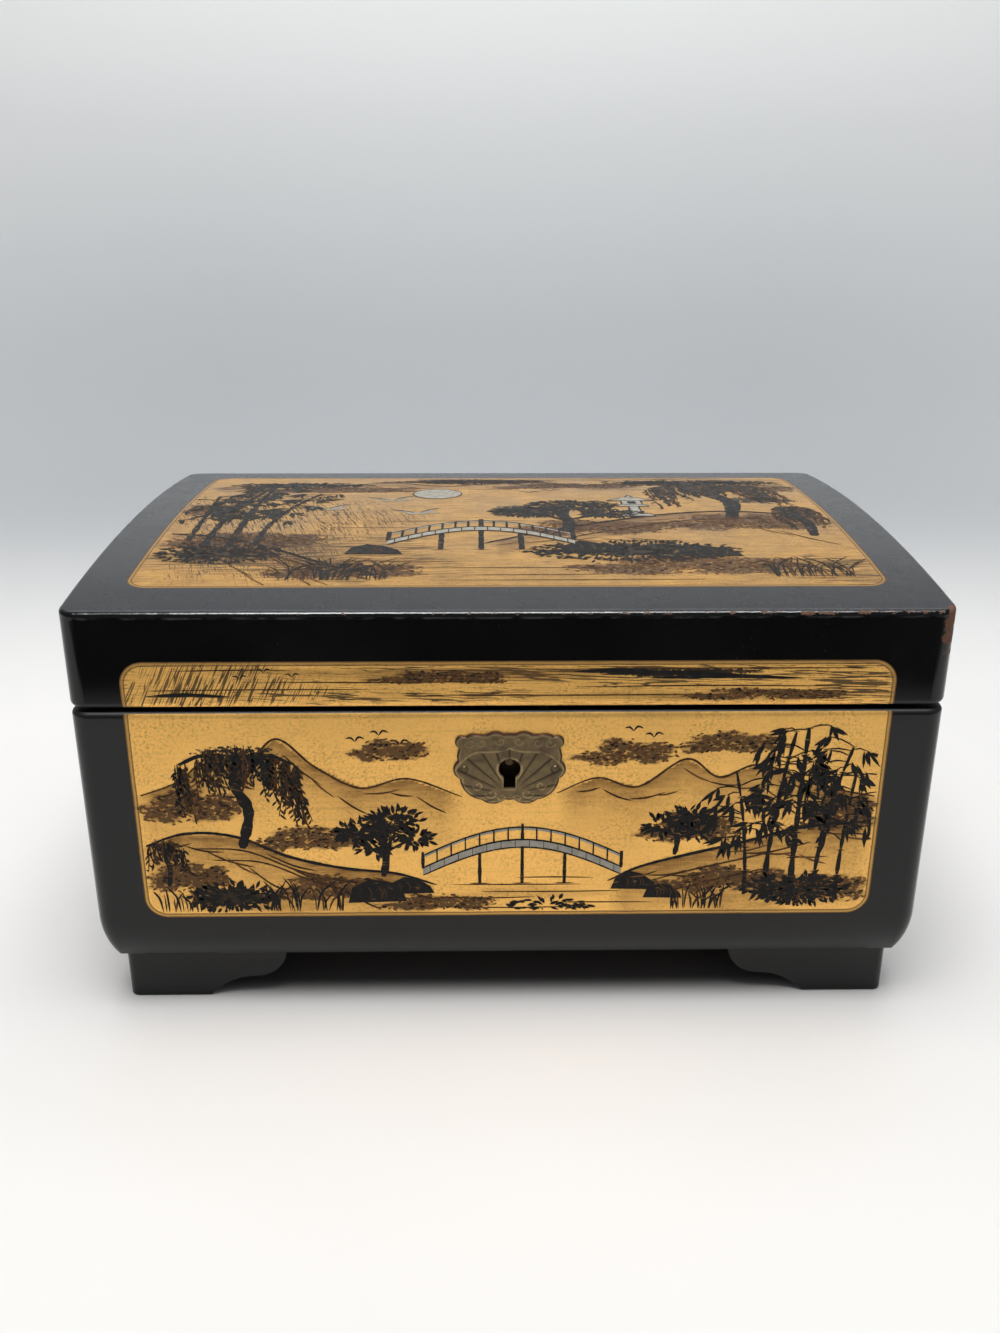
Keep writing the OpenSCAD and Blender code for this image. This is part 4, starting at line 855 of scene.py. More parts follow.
    def bamboo(self, u, v, height, lean, width, leaves):
        """A jointed cane with drooping leaves on its upper part."""
        chance = self.chance
        joints = max(4, int(height / 8))
        for i in range(joints):
            a, b = i / joints, (i + 0.93) / joints
            bow = lean * height
            p0 = (u + bow * a * a, v + height * a)
            p1 = (u + bow * b * b, v + height * b)
            mid = ((p0[0] + p1[0]) / 2, (p0[1] + p1[1]) / 2)
            w = width * (1 - 0.45 * a)
            self.stroke([p0, mid, p1], w, "ink", "cane")
            joint = [(p1[0] - w * 0.8, p1[1] + 0.2), (p1[0] + w * 0.8, p1[1] + 0.25)]
            self.stroke(joint, 0.5, "ink", "joint")
        for _ in range(leaves):
            t = chance.uniform(0.38, 1.0)
            root = (u + lean * height * t * t, v + height * t)
            side = chance.choice((-1, 1))
            reach = chance.uniform(2, 9)
            tip = (root[0] + side * reach, root[1] + chance.uniform(-1, 3.5))
            mid = ((root[0] + tip[0]) / 2, (root[1] + tip[1]) / 2 + 0.6)
            self.stroke([root, mid, tip], 0.45, "ink", "twig")
            for _ in range(chance.randint(3, 5)):
                angle = -math.pi / 2 + side * chance.uniform(-0.1, 1.25)
                self.leaf(tip[0] + chance.uniform(-1, 1), tip[1] + chance.uniform(-0.8, 0.8), angle,
                          chance.uniform(4, 7.5), chance.uniform(0.9, 1.5))

    def willow(self, u, v, height, spread, strands):
        """A leaning trunk with hanging strands of small leaves."""
        chance = self.chance
        crown = (u + spread * 0.12, v + height)
        trunk = [(u, v), (u + spread * 0.1, v + height * 0.4), (u - spread * 0.03, v + height * 0.7), crown]
        self.stroke(trunk, height * 0.11, "ink", "trunk")
        for k in range(5):
            side = -1 + k * 0.5
            bough = [(u + spread * 0.02, v + height * 0.66), (u + side * spread * 0.3, v + height * 0.98),
                     (u + side * spread * 0.62, v + height * 0.9)]
            self.stroke(bough, height * 0.045, "ink", "bough")
        for _ in range(strands):
            side = chance.uniform(-1, 1)
            x = u + side * spread * 0.68
            y = v + height * (1.06 - 0.22 * side * side) + chance.uniform(-1.5, 1.5)
            drop = height * chance.uniform(0.25, 0.62) * (0.6 + 0.5 * abs(side))
            sway = chance.uniform(-0.1, 0.22) * drop
            paint = chance.choice(("ink", "ink", "umber"))
            strand = [(x, y), (x + sway * 0.2, y - drop * 0.5), (x + sway, y - drop)]
            self.stroke(strand, 0.4, paint, "strand")
            leaves = int(drop / 1.5)
            for j in range(leaves):
                t = (j + 0.5) / leaves
                self.leaf(x + sway * t * t, y - drop * t, -math.pi / 2 + chance.uniform(-0.9, 0.9),
                          chance.uniform(1.6, 3.0), chance.uniform(0.55, 0.95), paint)

    def bridge(self, u0, u1, v, rise, scale=1.0):
        """An arched footbridge with rails and piers."""
        spans, thick, rail_height, rail_thick = 14, 2.6 * scale, 4.2 * scale, 0.9 * scale
        deck = [(u0 + (u1 - u0) * i / spans, v + rise * math.sin(math.pi * i / spans))
                for i in range(spans + 1)]
        under = [(x, y - thick) for x, y in deck]
        rail = [(x, y + rail_height) for x, y in deck]
        self.fill([*deck, *reversed(under)], "pale")
        self.fill([*rail, *[(x, y - rail_thick) for x, y in reversed(rail)]], "pale")
        for line, width in ((deck, 0.55), (under, 0.5), (rail, 0.45)):
            self.stroke(line, width * scale, "ink", "deck")
        for i, (x, y) in enumerate(deck):
            tall, width = (5.4, 1.0) if i % 7 == 0 else (4.2, 0.5)
            self.stroke([(x, y - 0.3), (x, y + tall * scale)], width * scale, "ink", "post")
            if i < spans:
                mx, my = (x + deck[i + 1][0]) / 2, (y + deck[i + 1][1]) / 2
                self.stroke([(mx, my - 0.2), (mx, my - thick + 0.2)], 0.25 * scale, "umber", "plank")
        foot, ring = v - 5.5 * scale, v - 5.6 * scale
        for x, y in (deck[4], deck[7], deck[10]):
            self.stroke([(x, y - thick), (x, foot)], 1.1 * scale, "ink", "pier")
            self.stroke([(x - 3, ring), (x + 3, ring)], 0.35, "umber", "ring")

    def lantern(self, u, v, k):
        """A stone garden lantern."""
        for stone in LANTERN:
            shape = placed(stone, u, v, k)
            self.fill(shape, "pale", 0.034)
            for a, b in zip(shape, shape[1:] + shape[:1]):
                self.stroke([a, b], 0.34 * k, "ink", "stone")
        self.fill(placed(LANTERN_WINDOW, u, v, k), "ink", 0.044)

    def rocks(self, rows):
        """Dark boulders with lighter cracks, each [u, v, half width, height]."""
        chance = self.chance
        for u, v, a, h in rows:
            shape = [(u + x * a + chance.uniform(-0.5, 0.5), v + y * h + chance.uniform(-0.3, 0.3))
                     for x, y in BOULDER]
            self.fill(shape, "ink", 0.032)
            for _ in range(4):
                x = u + chance.uniform(-0.6, 0.5) * a
                crack = [(x, v + h * 0.72), (x + a * 0.16, v + h * 0.4), (x + a * 0.1, v + h * 0.1)]
                self.stroke(crack, 0.45, "umber", "crack")

    def reeds(self, u, v, count, tall, spread):
        """A fan of thin grass blades."""
        chance = self.chance
        for _ in range(count):
            x = u + chance.uniform(-spread, spread)
            bend = chance.uniform(-0.55, 0.55) * tall
            h = tall * chance.uniform(0.5, 1.0)
            blade = [(x, v), (x + bend * 0.25, v + h * 0.6), (x + bend, v + h)]
            self.stroke(blade, chance.uniform(0.4, 0.75), chance.choice(("ink", "ink", "umber")), "blade")

    def birds(self, rows, k=1.0):
        """Small far birds, each [u, v]."""
        for u, v in rows:
            for wing in BIRD_WINGS:
                self.stroke(placed(wing, u, v, k), 0.6 * k, "ink", "wing")

    def cranes(self, rows, k=1.0):
        """Pale flying cranes with dark wing tips, each [u, v]."""
        for u, v in rows:
            for wing in CRANE_WINGS:
                self.fill(placed(wing, u, v, k), "pale")
            self.stroke(placed(CRANE_BODY, u, v, k), 0.9 * k, "pale", "neck")
            for edge in CRANE_EDGES:
                self.stroke(placed(edge, u, v, k), 0.55 * k, "ink", "feather")

    def water(self, rows):
        """Long thin ripples, each [u0, u1, v]."""
        for u0, u1, v in rows:
            mid = ((u0 + u1) / 2, v + self.chance.uniform(-0.3, 0.3))
            end = (u1, v + self.chance.uniform(-0.2, 0.2))
            self.stroke([(u0, v), mid, end], 0.38, "umber", "ripple")

    def foliage(self, rows, density):
        """Loose brown leaf touches over soft ovals, each [u, v, half width, half height]."""
        chance = self.chance
        for u, v, a, b in lumps(rows):
            for _ in range(int(density * a * b * 1.6)):
                t, r = chance.uniform(0, 2 * math.pi), chance.random() ** 0.62
                x, y = u + a * r * math.cos(t), v + b * r * math.sin(t)
                long, short = chance.uniform(0.45, 1.0), chance.uniform(0.25, 0.45)
                inner = ("umber", "umber", "sienna", "sienna", "ink")
                paint = chance.choice(inner) if r < 0.75 else "sienna"
                self.dab(x, y, long, short, paint, chance.uniform(0.024, 0.03), chance.uniform(-0.5, 0.6), 6)

    def tree(self, u, v, height, pads):
        """A forked trunk under leafy pads, each [du, dv, half width, half height] from its foot."""
        trunk = [(u, v), (u + height * 0.05, v + height * 0.35), (u - height * 0.02, v + height * 0.75)]
        self.stroke(trunk, height * 0.13, "ink", "stem")
        for du, dv, a, b in pads:
            x, y = u + du, v + dv
            fork = [(u + height * 0.02, v + height * 0.45), (u + du * 0.6, v + dv * 0.85), (x, y)]
            self.stroke(fork, height * 0.05, "ink", "fork")
            self.clump(x, y, a, b, int(a * b * 3.4))
            for _ in range(int(a * b * 0.9)):
                t, r = self.chance.uniform(0, 2 * math.pi), math.sqrt(self.chance.random()) * 0.8
                turn = self.chance.uniform(-0.5, 0.5)
                self.dab(x + a * r * math.cos(t), y + b * r * math.sin(t), 1.25, 0.8, "ink", 0.03, turn, 7)

    def slope(self, line, rows):
        """Short strokes down a hillside, each [share along the ridge, length, drop]."""
        xs, ys = zip(*line)
        for share, length, drop in rows:
            x = xs[0] + (xs[-1] - xs[0]) * share
            y = float(np.interp(x, xs, ys)) - drop
            x2 = x + length
            y2 = float(np.interp(x2, xs, ys)) - drop * 1.5
            fold = [(x, y), ((x + x2) / 2, (y + y2) / 2 - length * 0.06), (x2, y2)]
            self.stroke(fold, 0.6, self.chance.choice(("umber", "sienna")), "fold")

    def clump(self, u, v, a, b, count):
        """A dark mass of leaf touches."""
        chance = self.chance
        for _ in range(count):
            t, r = chance.uniform(0, 2 * math.pi), math.sqrt(chance.random())
            x, y = u + a * r * math.cos(t), v + b * r * math.sin(t)
            self.leaf(x, y, math.atan2(y - v, (x - u) * 0.6) + chance.uniform(-0.7, 0.7),
                      chance.uniform(1.6, 3.4), chance.uniform(0.7, 1.3))


# Ridges and banks of the scenes, from left to right
FAR_LEFT = [(-111, 74), (-98, 79), (-86, 88), (-78, 83), (-68, 93), (-57, 84), (-44, 77), (-30, 80),
            (-14, 74)]
FAR_RIGHT = [(14, 75), (26, 80), (38, 77), (52, 86), (62, 80), (74, 84), (92, 77), (111, 73)]
BANK_LEFT = [(-111, 57), (-97, 62), (-82, 61), (-66, 54), (-50, 50), (-34, 48), (-22, 44)]
BANK_RIGHT = [(30, 45), (40, 50), (54, 54), (70, 58), (88, 63), (111, 65)]
TOP_FAR = [(-112, 44), (-92, 52), (-70, 46), (-44, 58), (-20, 50), (6, 62), (30, 52), (58, 57), (84, 49),
           (112, 54)]
TOP_BANK = [(-8, -34), (14, -20), (36, -8), (60, 2), (84, 4), (112, -6)]
TOP_SHORE = [(-112, -22), (-94, -26), (-74, -38), (-56, -52), (-42, -60)]

# Brown leaf clouds of the scenes, each [u, v, half width, half height]
FRONT_LEAVES = [(-95, 71, 16, 6.5), (-60, 60, 16, 5), (-97, 47, 13, 6), (-55, 43, 18, 5.5),
                (-22, 37.6, 18, 3.4), (34, 88, 15, 5), (-36, 89, 12, 4.2), (64, 91, 15, 4.2),
                (54, 63, 15, 6), (66, 45, 22, 5.5), (99, 68, 11, 8), (96, 42, 14, 6)]
LID_LEAVES = [(-20, 112, 20, 2.6), (72, 106.5, 26, 2.2)]
TOP_LEAVES = [(-84, -30, 26, 11), (-50, -58, 24, 8), (28, -16, 26, 11), (80, -10, 30, 12), (54, -54, 36, 10),
              (-60, 42, 30, 8), (24, 50, 28, 8), (92, 44, 20, 9), (-102, 8, 10, 10), (-14, 62, 34, 6)]


def clouds(u, v, rows):
    """Leaf clouds with soft edges."""
    return patches(u, v, [(x, y, a * 1.15, b * 1.2, 1.0) for x, y, a, b in lumps(rows)])


def front_marks(u, v):
    """Washes and leaf clouds of the scene on the body's front."""
    wash = np.maximum.reduce([
        under_ridge(u, v, FAR_LEFT, 9, 0.95), under_ridge(u, v, FAR_RIGHT, 9, 0.95),
        under_ridge(u, v, BANK_LEFT, 13, 1.0), under_ridge(u, v, BANK_RIGHT, 13, 1.0),
        patches(u, v, [(-70, 38, 34, 4, 0.6), (72, 38, 34, 4, 0.6), (4, 41, 26, 2.4, 0.35)])])
    dark = patches(u, v, [(-84, 40, 16, 4.6, 0.95), (88, 42, 17, 5, 0.95), (-38, 63, 9, 4.6, 0.8),
                          (-80, 88, 16, 4, 0.75)])
    nothing = np.zeros_like(u)
    return {"wash": wash, "dabs": clouds(u, v, FRONT_LEAVES), "dark": dark, "dry": nothing, "hatch": nothing}


def lid_front_marks(u, v):
    """Cloud bands and dry strokes on the lid's front."""
    wash = patches(u, v, [(-20, 113, 60, 2.2, 0.5), (60, 106, 50, 1.6, 0.4)])
    dark = patches(u, v, [(46, 113.4, 34, 1.7, 0.85)])
    dry = patches(u, v, [(30, 113, 70, 3.2, 1.0), (-34, 106.2, 54, 1.8, 0.86), (100, 110, 14, 9, 0.92)])
    dry = np.maximum(dry, 0.22)
    hatch = patches(u, v, [(-84, 110, 30, 10, 0.62)])
    return {"wash": wash, "dabs": clouds(u, v, LID_LEAVES), "dark": dark, "dry": dry, "hatch": hatch}


def top_marks(u, v):
    """Washes, leaf clouds and worn dry strokes of the scene on the arched top."""
    wash = np.maximum.reduce([
        under_ridge(u, v, TOP_FAR, 22, 0.95), under_ridge(u, v, TOP_BANK, 34, 1.0),
        under_ridge(u, v, TOP_SHORE, 26, 1.0),
        patches(u, v, [(0, 66, 110, 6, 0.6)]), np.full_like(u, 0.54)])
    dark = patches(u, v, [(72, 57, 36, 7, 0.95), (-76, 52, 28, 6, 0.9), (-10, 60, 28, 6, 0.9),
                          (40, -40, 34, 8, 0.95), (-92, -42, 18, 8, 0.95), (92, 22, 18, 8, 0.8),
                          (8, 8, 20, 7, 0.8)])
    dry = patches(u, v, [(-60, -46, 52, 24, 0.86), (60, 66, 50, 7, 0.9), (96, -58, 22, 14, 0.84)])
    dry = np.maximum(dry, 0.2)
    hatch = patches(u, v, [(-76, -12, 44, 56, 0.55)])
    return {"wash": wash, "dabs": clouds(u, v, TOP_LEAVES), "dark": dark, "dry": dry, "hatch": hatch}


def paint_front():
    """Bamboo, willow, footbridge and far hills on the body's front."""
    b = Brush(FRONT, 11)
    for line in (FAR_LEFT, FAR_RIGHT):
        b.stroke(line, 0.7, "umber", "far_ridge")
    for line in (BANK_LEFT, BANK_RIGHT):
        b.stroke(line, 1.0, "ink", "ridge")
        b.stroke([(x + 3, y - 5) for x, y in line[1:-1]], 0.6, "umber", "terrace")
        b.stroke([(x + 8, y - 9) for x, y in line[1:-2]], 0.55, "umber", "terrace")
        b.slope(line, [(0.08 + 0.07 * i, 9 + 3 * (i % 3), 2 + 1.7 * (i % 5)) for i in range(12)])
    for line in (FAR_LEFT, FAR_RIGHT):
        b.slope(line, [(0.06 + 0.08 * i, 7 + 2 * (i % 3), 2 + 1.4 * (i % 4)) for i in range(11)])
    b.foliage(FRONT_LEAVES, 0.8)
    b.bridge(-26, 34, 50, 9.5)
    b.rocks([(-30, 41, 7, 6), (-40, 38, 9, 8), (38, 42, 7, 6.5), (47, 39, 6, 5)])
    b.tree(-38, 47, 18, [(-7, 15, 6.5, 3.2), (3, 19, 8, 3.6), (9, 13, 5.5, 2.6), (-2, 10, 5, 2.2)])
    b.tree(50, 54, 13, [(-4, 10, 5, 2.5), (4, 13, 6, 2.6), (6, 8, 4, 2)])
    for cane in ((78, 38, 57, 0.10, 2.0, 20), (86, 36, 60, 0.02, 2.4, 24), (93, 40, 50, 0.16, 1.8, 18),
                 (72, 40, 42, -0.12, 1.6, 14), (100, 38, 44, 0.06, 1.5, 12)):
        b.bamboo(*cane)
    b.willow(-80, 57, 31, 27, 92)
    b.willow(-103, 44, 15, 8, 30)
    b.reeds(-62, 35, 30, 12, 12)
    b.reeds(-98, 35, 20, 9, 8)
    b.reeds(58, 35, 26, 10, 9)
    b.clump(-84, 40, 13, 4.2, 150)
    b.clump(88, 42, 16, 4.5, 170)
    b.clump(12, 36.5, 12, 2.2, 60)
    b.birds([(-38, 94), (-32, 91), (-45, 92), (36, 95), (42, 93)])
    b.water([(-18, 22, 44), (-8, 34, 41.5), (-20, 8, 39.4), (14, 44, 37.6), (-14, 20, 36), (2, 26, 46.4)])
    return b.finish("painted_front", "root")


def paint_lid_front():
    """Thin mist lines and far birds on the lid's front."""
    b = Brush(LID_FRONT, 23)
    b.water([(-104, -40, 108.2), (-70, 0, 110.8), (-30, 60, 106.6), (20, 96, 109), (-96, -62, 114.2),
             (30, 104, 114.6)])
    b.birds([(-70, 113.6), (-62, 112.2), (-77, 111.6)], 0.8)
    b.foliage(LID_LEAVES, 0.8)
    for v, u0, u1 in ((112.8, 26, 66), (111.6, 40, 84), (113.6, 18, 44), (106.4, -104, -80)):
        b.stroke([(u0, v), ((u0 + u1) / 2, v + 0.5), (u1, v - 0.2)], 1.2, "ink", "mist")
    return b.finish("painted_lid_front", "lid")


def paint_top():
    """Bamboo, bridge, lantern, moon and cranes on the arched top."""
    b = Brush(TOP, 37)
    b.stroke(TOP_FAR, 0.9, "umber", "long_ridge")
    b.slope(TOP_FAR, [(0.02 + 0.06 * i, 12 + 3 * (i % 3), 3 + 2.4 * (i % 4)) for i in range(15)])
    for line in (TOP_BANK, TOP_SHORE):
        b.stroke(line, 1.4, "ink", "long_ridge")
        b.stroke([(x + 4, y - 9) for x, y in line[1:-1]], 0.9, "umber", "long_terrace")
        b.slope(line, [(0.04 + 0.07 * i, 10 + 4 * (i % 3), 4 + 3.4 * (i % 6)) for i in range(13)])
    moon = [(-24 + 9 * math.cos(t * math.pi / 12), 34 + 9 * math.sin(t * math.pi / 12)) for t in range(24)]
    b.fill(moon, "pale", 0.028)
    b.stroke([*moon, moon[0]], 0.5, "umber", "moon")
    b.foliage(TOP_LEAVES, 0.5)
    b.cranes([(-62, 8), (-40, 22), (-30, 2)], 1.5)
    b.bridge(-38, 22, -30, 15, 1.7)
    b.lantern(46, -2, 1.9)
    for cane in ((-96, -36, 84, 0.12, 3.0, 34), (-88, -40, 92, 0.03, 3.4, 38), (-80, -34, 68, 0.2, 2.6, 26),
                 (-102, -30, 60, -0.02, 2.4, 20)):
        b.bamboo(*cane)
    b.willow(78, -4, 54, 36, 130)
    b.willow(101, -26, 36, 12, 44)
    b.tree(20, -22, 34, [(-12, 26, 12, 6), (4, 36, 15, 7), (17, 24, 10, 5)])
    for dark in ((40, -41, 33, 9, 560), (-90, -43, 19, 8, 300), (72, 57, 34, 6, 320), (-10, 60, 26, 5, 200),
                 (-76, 52, 26, 5, 200)):
        b.clump(*dark)
    b.rocks([(-42, -44, 9, 10), (26, -42, 9, 11), (62, -46, 12, 10)])
    b.reeds(-52, -66, 44, 20, 16)
    b.reeds(92, -64, 36, 18, 12)
    b.birds([(10, 36), (18, 40), (2, 42)], 1.4)
    b.water([(-70, -10, -50), (-30, 40, -56), (-14, 30, -62), (-60, -26, -16), (-50, 10, -8), (-20, 60, -66)])
    return b.finish("painted_top", "lid")


class JEWEL_OT_lacquer(bpy.types.Operator):
    """Lacquered boards and rails, with an eased lid top and eased feet"""

    bl_idname = "jewel.lacquer"
    bl_label = "Lacquered wood"

    SIDES = ("front", "back", "left", "right")
    FEET = ("foot_front_left", "foot_front_right", "foot_back_left", "foot_back_right")
    # The top's rounded edges lie this near its outline and its edge level, in millimetres
    NEAR_SIDE, NEAR_EDGE = 2, 0.5

    def execute(self, context):
        coat(black_lacquer(), *[side + "_board" for side in self.SIDES],
             *["lid_" + side + "_rail" for side in self.SIDES])
        sizes = context.scene.jewel_sizes
        side_x, side_y, _ = Vector(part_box("lid_top")[1]) / MM

        def on_rim(p):
            outer = abs(p.x) > side_x - self.NEAR_SIDE or abs(p.y) > side_y - self.NEAR_SIDE
            return outer and p.z > LID_EDGE_Z - self.NEAR_EDGE

        soften("lid_top", sizes.lid_edge / MM, black_lacquer(), "black_lacquer", 5, on_rim, False)
        for foot in self.FEET:
            soften(foot, sizes.foot_edge / MM, black_lacquer(), "black_lacquer", 3)
        return {"FINISHED"}


class JEWEL_OT_grounds(bpy.types.Operator):
    """Gilt grounds with their painted scenes"""

    bl_idname = "jewel.grounds"
    bl_label = "Gilt grounds"

    # The top's points lie further apart by this share
    TOP_PITCH = 1.25
    # Opening for the keyhole, in millimetres: its radius, half the width of its slot, and the slot's drop
    KEY_R, KEY_SLOT, KEY_DROP = 5, 3.5, 8

    def over_keyhole(self, face):
        """Whether a face of the front ground lies over the keyhole."""
        x, z = face.center.x / MM, face.center.z / MM - KEY_Z
        return math.hypot(x, z) < self.KEY_R or (abs(x) < self.KEY_SLOT and -self.KEY_DROP < z < 0)

    def execute(self, context):
        pitch = context.scene.jewel_sizes.gilt_pitch / MM
        front = FRONT.sheet("gilt_front", pitch, front_marks)
        choose(front, "FACE", self.over_keyhole)
        bpy.ops.mesh.delete(type="FACE")
        start()
        dress(front, [gilt_ground()], "root", "gilt_ground", "gilt_panel_front")
        lid = LID_FRONT.sheet("gilt_lid_front", pitch, lid_front_marks)
        dress(lid, [gilt_ground()], "lid", "gilt_ground", "gilt_panel_lid_front")
        top = TOP.sheet("gilt_lid_top", pitch * self.TOP_PITCH, top_marks)
        dress(top, [gilt_ground()], "lid", "gilt_ground", "gilt_panel_lid_top")
        paint_front()
        paint_lid_front()
        paint_top()
        return {"FINISHED"}


# Escutcheon, in millimetres from the middle of its keyhole: the right half of its outline, the round lobes
# that swell it, each [x, y, radius], and its pressed scrolls, each [x, y, size]; all are mirrored to the left
PLATE_HALF = ((0, 11), (9, 10.6), (14, 9.8), (15.4, 4), (14.4, -3.4), (9.8, -8.6), (0, -10.4))
PLATE_LOBES = ((13.3, -0.4, 3.2), (14, 8.4, 1.9), (7.2, -2.9, 7.4), (4.8, -6.7, 4.9), (10.4, 6.9, 4),
               (4.1, 7.4, 4.2))
PLATE_SCROLLS = ((11.6, 8.3, 1.5), (8.2, 8.4, 1.3), (2.6, 8.9, 1.4), (5.2, -8.0, 1.8), (2.2, -9.2, 1.2),
                 (9.2, -5.4, 1.5))
# Thickness at its outline, the crown over it and the width in which the crown rises
PLATE_THICK, PLATE_CROWN, PLATE_CROWN_W = 0.62, 0.3, 2.5
KEYHOLE_R, KEYHOLE_SLOT, KEYHOLE_DROP = 3.2, 1.75, 6.4
NAIL_X = 13.3
# The rays of the shell start this far under the keyhole, this far out, this many degrees apart
RAY_FOOT, RAY_START, RAY_STEP = 8.3, 3, 15.5


def plate_reach(angle):
    """Distance from the keyhole's middle to the escutcheon's outline, in one direction."""
    d = np.array([math.cos(angle), math.sin(angle)])
    best = 0.0
    for s in (-1, 1):
        ring = [np.array((s * x, y)) for x, y in PLATE_HALF]
        for a, b in zip(ring, ring[1:]):
            e = b - a
            cross = d[0] * e[1] - d[1] * e[0]
            if abs(cross) > 1e-9:
                t = (a[0] * e[1] - a[1] * e[0]) / cross
                k = (a[0] * d[1] - a[1] * d[0]) / cross
                if t > 0 and -1e-6 <= k <= 1 + 1e-6:
                    best = max(best, t)
        for x, y, r in PLATE_LOBES:
            along = s * x * d[0] + y * d[1]
            off = abs(s * x * d[1] - y * d[0])
            if off < r:
                best = max(best, along + math.sqrt(r * r - off * off))
    return best


def keyhole_reach(angle):
    """Distance from the keyhole's middle to its edge, in one direction."""
    c, s = math.cos(angle), math.sin(angle)
    if s >= 0:
        return KEYHOLE_R
    return max(KEYHOLE_R, min(KEYHOLE_SLOT / max(1e-6, abs(c)), KEYHOLE_DROP / -s))


def hump(distance, width):
    """A soft line: 1 in its middle, falling off with the distance from it."""
    return math.exp(-(distance / width) ** 2)


def plate_relief(x, y, edge, lip):
    """Pressed relief of the escutcheon, from 0 to about 1, with the distances from outline and keyhole."""
    bow = 5.5 + 1.3 * math.exp(-abs(x) / 1.6) - 2.2 * max(0.0, (abs(x) - 8.5) / 4.5) ** 2
    h = 0.42 + 0.42 * hump(y - bow, 0.42)
    far = math.hypot(x, y + RAY_FOOT)
    if y < bow - 0.5 and far > RAY_START:
        ray = math.degrees(math.atan2(x, y + RAY_FOOT)) / RAY_STEP
        h += 0.16 - 0.5 * hump(ray - round(ray), 0.13) * min(1.0, (far - RAY_START) / 3)
    for side in (-1, 1):
        for cx, cy, r in PLATE_SCROLLS:
            dx, dy = side * x - cx, y - cy
            turn = math.atan2(dy, dx) / (2 * math.pi) % 1.0
            h += 0.34 * hump(math.hypot(dx, dy) - r * (0.25 + 0.8 * turn), 0.27)
    h += 0.34 * hump(edge - 0.75, 0.34) + 0.4 * hump(lip - 0.4, 0.3)
    nail = math.hypot(abs(x) - NAIL_X, y)
    return max(0.0, h) * min(1.0, edge / 0.35) * min(1.0, max(0.0, nail - 0.9) / 0.7)


class JEWEL_OT_escutcheon(bpy.types.Operator):
    """Pressed escutcheon with its nails"""

    bl_idname = "jewel.escutcheon"
    bl_label = "Escutcheon"

    # Points round a ring, rings from keyhole to outline, and how much closer they lie near the keyhole
    COUNT, RINGS, CLOSER = 420, 60, 0.9
    # Stored relief of the two side walls, and how far from the rim each counts
    WALL_RELIEF, LIP_EDGE, RIM_EDGE = 0.2, 1.0, 0.0
    BEND = math.radians(50)

    def execute(self, context):
        deep = context.scene.jewel_sizes.relief
        rings, count = self.RINGS, self.COUNT
        angles = [2 * math.pi * k / count for k in range(count)]
        points, relief, edges = [], [], []
        for i in range(rings + 1):
            for a in angles:
                inner, outer = keyhole_reach(a), plate_reach(a)
                r = inner + (outer - inner) * (i / rings) ** self.CLOSER
                x, y = r * math.cos(a), r * math.sin(a)
                edge = outer - r
                h = plate_relief(x, y, edge, r - inner)
                thick = PLATE_THICK + PLATE_CROWN * min(1.0, edge / PLATE_CROWN_W)
                points.append(mm(x, FRONT_Y - thick, KEY_Z + y) - Vector((0, h * deep, 0)))
                relief.append(h)
                edges.append(edge)
        for reach, edge in ((keyhole_reach, self.LIP_EDGE), (plate_reach, self.RIM_EDGE)):
            points += [mm(reach(a) * math.cos(a), FRONT_Y, KEY_Z + reach(a) * math.sin(a)) for a in angles]
            relief += [self.WALL_RELIEF] * count
            edges += [edge] * count

        def band(first, second):
            """Faces between two rings of points."""
            a, b = first * count, second * count
            return [[a + k, b + k, b + (k + 1) % count, a + (k + 1) % count] for k in range(count)]

        faces = [face for i in range(rings) for face in band(i, i + 1)]
        faces += band(rings + 1, 0) + band(rings, rings + 2)
        plate = mesh_piece("escutcheon_pressed", points, faces)
        float_attribute(plate, "relief", relief)
        float_attribute(plate, "edge", edges)
        pick(plate)
        bpy.ops.object.shade_smooth_by_angle(angle=self.BEND)
        dress(plate, [aged_brass()], "root", "aged_brass", "escutcheon")
        coat(dull_brass(), "escutcheon_nails", "lock_case", "lock_bolt")
        return {"FINISHED"}


class JEWEL_OT_metalwork(bpy.types.Operator):
    """Finishes of hinges, lock, screws and the music movement"""

    bl_idname = "jewel.metalwork"
    bl_label = "Metalwork"

    def execute(self, context):
        coat_slots({"brass": polished_brass, "steel": bright_steel, "cast_bed": cast_metal})
        return {"FINISHED"}


